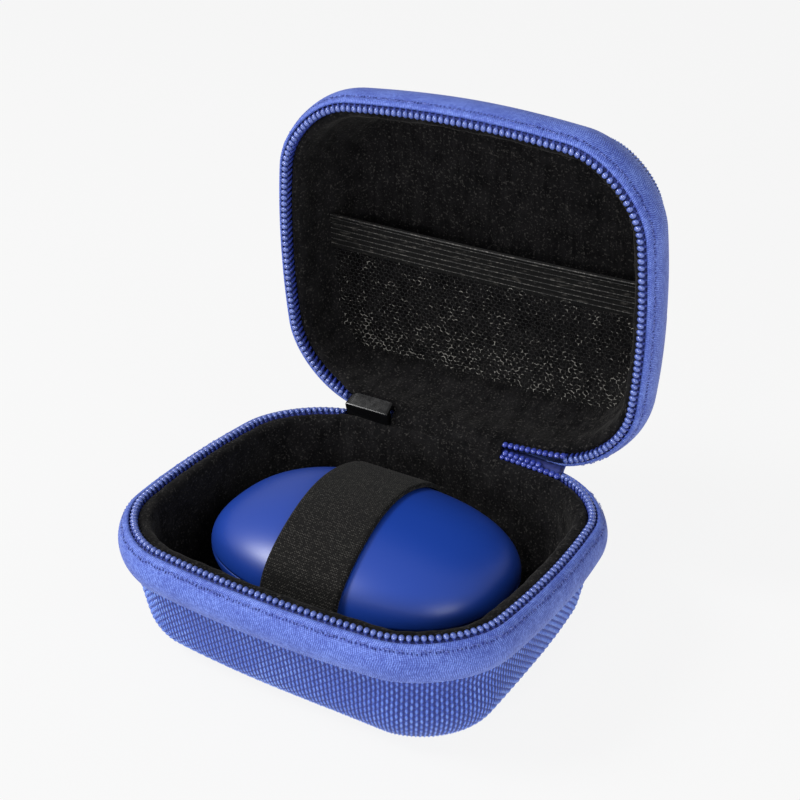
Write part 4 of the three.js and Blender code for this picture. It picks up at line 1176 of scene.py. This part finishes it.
# knitted net: six-sided cells of thin yarn
soup = Soup()
cw, ch = 1.5, 1.35
y0n, y1n = Y_MOUTH + BAND_W - 0.4, Y_END
rows = int((y1n - y0n) / (ch * 0.75))
starts, ends = [], []
cols = 60
for r in range(rows + 1):
    yb = y0n + r * ch * 0.75
    shift = 0.5 * cw * (r % 2)
    for c_ in range(-cols, cols + 1):
        x0 = c_ * cw + shift
        starts.append((x0, yb)); ends.append((x0 + cw / 2, yb + ch * 0.25))
        starts.append((x0 + cw / 2, yb + ch * 0.25)); ends.append((x0 + cw, yb))
        starts.append((x0, yb)); ends.append((x0, yb - ch * 0.5))
a, b = np.array(starts), np.array(ends)
lim = half_at(np.clip((a[:, 1] + b[:, 1]) / 2, -HINGE_Y - 30, -HINGE_Y + 31), 0.4)
ok = (np.abs(a[:, 0]) < lim) & (np.abs(b[:, 0]) < lim) & (a[:, 1] > y0n - 0.2) & (b[:, 1] > y0n - 0.2) & (a[:, 1] < y1n) & (b[:, 1] < y1n)
a, b = a[ok], b[ok]


def net_depth(x, y):
    q = np.clip((y - y0n) / (y1n - y0n), 0, 1)
    return POCKET_Z - UP + 0.4 - 0.9 * (1 - q) * (1 - (x / 41) ** 2) + 0.25 * np.sin(x * 0.5 + y * 0.9) + 0.3 * q * np.sin(x * 1.3 - y * 0.7)


tt_ = np.linspace(0, 1, 3)
px = a[:, 0, None] * (1 - tt_) + b[:, 0, None] * tt_
py = a[:, 1, None] * (1 - tt_) + b[:, 1, None] * tt_
c = lid_point(px, py, net_depth(px, py))
dirn = c[:, -1] - c[:, 0]
dirn /= np.linalg.norm(dirn, axis=1, keepdims=True)
up_l = lid_point(0.0, 0.0, 1.0) - lid_point(0.0, 0.0, 0.0)
side = np.cross(dirn, up_l)
side /= np.linalg.norm(side, axis=1, keepdims=True)
side = np.broadcast_to(side[:, None], c.shape)
lift = np.broadcast_to(up_l, c.shape)
tubes(soup, c, side, lift, 0.07, 0.07, 5, 0)
ob = soup.build("pocket_net", [MAT["net"]])
finish_piece(ob, "lid", "elastic", "pocket_mesh")

# ------------------------------------------------------------------ carried-over CAD pieces
for name, key in (("base_foam_core", "foam"), ("lid_foam_core", "foam"), ("slider_body", "enamel"), ("slider_bail", "enamel"), ("pull_tab", "enamel")):
    o = frame["nodes"][name]
    o.data.materials.clear()
    o.data.materials.append(MAT[key])
    if key == "enamel":
        mod = o.modifiers.new("soft_edges", "BEVEL")
        mod.width, mod.segments, mod.limit_method, mod.angle_limit = 0.00028, 3, "ANGLE", math.radians(28)
        for p in o.data.polygons:
            p.use_smooth = True

# the slider's inner plate, folded along a ridge, rounded at its nose
sec = np.array([(-4.0, 2.62), (-3.96, 2.82), (-3.80, 3.0), (-1.05, 5.0), (-0.80, 5.02), (-0.66, 4.8), (-0.75, 4.55), (-2.2, 3.1), (-2.5, 2.6), (-2.65, 0.7), (-2.75, -0.35), (-3.0, -0.5), (-3.25, -0.3)])
xs = np.array([-6.0, -5.96, -5.85, -5.6, -5.2, -4.6, -3.6, -2.0, 0.0, 2.0, 4.0, 5.4, 5.8, 5.95, 6.0])

mid = np.array([-3.0, 2.2])
P = []
for x in xs:
    near = min(x + 6.0, 2.4) / 2.4
    end = min(6.0 - x, 0.5) / 0.5
    round_nose = math.sqrt(max(0.0, 1 - (1 - near) ** 2))
    q = sec.copy()
    top = np.clip((q[:, 1] - 2.8) / 2.2, 0, 1)
    q = q - (q - np.array([-3.6, 2.6])) * (top * (1 - round_nose) * 0.75)[:, None]
    k = 1 - 0.12 * (1 - math.sqrt(max(0.0, 1 - (1 - end) ** 2))) - 0.12 * (1 - math.sqrt(max(0.0, 1 - (1 - min(x + 6.0, 0.5) / 0.5) ** 2)))
    q = mid + (q - mid) * k
    P.append(np.stack([np.full(len(q), -22.0 + x), 38.945 + q[:, 0], PARTING + q[:, 1]], -1))
P = np.array(P)
soup = Soup()
soup.grid(P, False, True)
for i, flip in ((0, 1), (len(xs) - 1, -1)):
    ids = i * len(sec) + np.arange(len(sec))
    soup.f.append((ids[::flip][None], np.zeros((1, len(sec), 2)), 0))
ob = soup.build("slider_inner_plate", [MAT["enamel"]], smooth=False)
mod = ob.modifiers.new("soft_edges", "BEVEL")
mod.width, mod.segments, mod.limit_method, mod.angle_limit = 0.00012, 2, "ANGLE", math.radians(25)
finish_piece(ob, "slider", "slider_metal")

# ------------------------------------------------------------------ floor, light, camera
me = bpy.data.meshes.new("floor")
me.from_pydata([(-8, -8, -0.0004), (8, -8, -0.0004), (8, 8, -0.0004), (-8, 8, -0.0004)], [], [(0, 1, 2, 3)])
floor = bpy.data.objects.new("floor", me)
bpy.context.scene.collection.objects.link(floor)
fm = bpy.data.materials.new("pale_floor")
fm.use_nodes = True
nt = fm.node_tree
bsdf = nt.nodes["Principled BSDF"]
bsdf.inputs["Base Color"].default_value = (0.8, 0.8, 0.8, 1)
bsdf.inputs["Roughness"].default_value = 0.9
em = nt.nodes.new("ShaderNodeEmission")
em.inputs[0].default_value = (0.94, 0.94, 0.94, 1)
em.inputs[1].default_value = 1.01
mixs = nt.nodes.new("ShaderNodeMixShader")
mixs.inputs[0].default_value = 0.93
nt.links.new(bsdf.outputs[0], mixs.inputs[1])
nt.links.new(em.outputs[0], mixs.inputs[2])
nt.links.new(mixs.outputs[0], nt.nodes["Material Output"].inputs[0])
me.materials.append(fm)

world = bpy.data.worlds.new("studio")
bpy.context.scene.world = world
world.use_nodes = True
world.node_tree.nodes["Background"].inputs[0].default_value = (1, 1, 1, 1)
world.node_tree.nodes["Background"].inputs[1].default_value = 0.33


def softbox(name, loc, target, size, power_w, color=(1, 1, 1), size_y=None):
    light = bpy.data.lights.new(name, "AREA")
    light.shape = "RECTANGLE"
    light.size, light.size_y = size, size_y or size
    light.energy = power_w
    light.color = color
    ob = bpy.data.objects.new(name, light)
    bpy.context.scene.collection.objects.link(ob)
    ob.location = loc
    ob.rotation_euler = (Vector(target) - Vector(loc)).to_track_quat("-Z", "Y").to_euler()
    return ob


softbox("key", (-0.55, -0.33, 0.66), (0, 0.02, 0.04), 0.30, 5.6)
softbox("front", (0.05, -0.80, 0.28), (0, 0.02, 0.04), 0.16, 2.8)
softbox("fill", (0.65, -0.25, 0.45), (0, 0.02, 0.04), 0.35, 1.2)

AZ, EL, ROLL = math.radians(31.32), math.radians(27.106), math.radians(0.534)
TX, TY, DIST, F = -2.676, -4.587, 347.14, 1551.8
back = np.array([math.sin(AZ) * math.cos(EL), -math.cos(AZ) * math.cos(EL), math.sin(EL)])
right = np.array([math.cos(AZ), math.sin(AZ), 0.0])
up = np.cross(back, right)
r2 = right * math.cos(ROLL) + up * math.sin(ROLL)
u2 = -right * math.sin(ROLL) + up * math.cos(ROLL)
C = (np.array([0, 20.0, 52.0]) + back * DIST + right * TX + up * TY) * 0.001
cam_data = bpy.data.cameras.new("camera")
cam_data.sensor_width = 36
cam_data.lens = F / 800 * 36
cam_data.clip_start, cam_data.clip_end = 0.01, 50
cam = bpy.data.objects.new("camera", cam_data)
bpy.context.scene.collection.objects.link(cam)
cam.matrix_world = Matrix(((r2[0], u2[0], back[0], C[0]), (r2[1], u2[1], back[1], C[1]), (r2[2], u2[2], back[2], C[2]), (0, 0, 0, 1)))
bpy.context.scene.camera = cam
bpy.context.scene.view_settings.view_transform = "Standard"
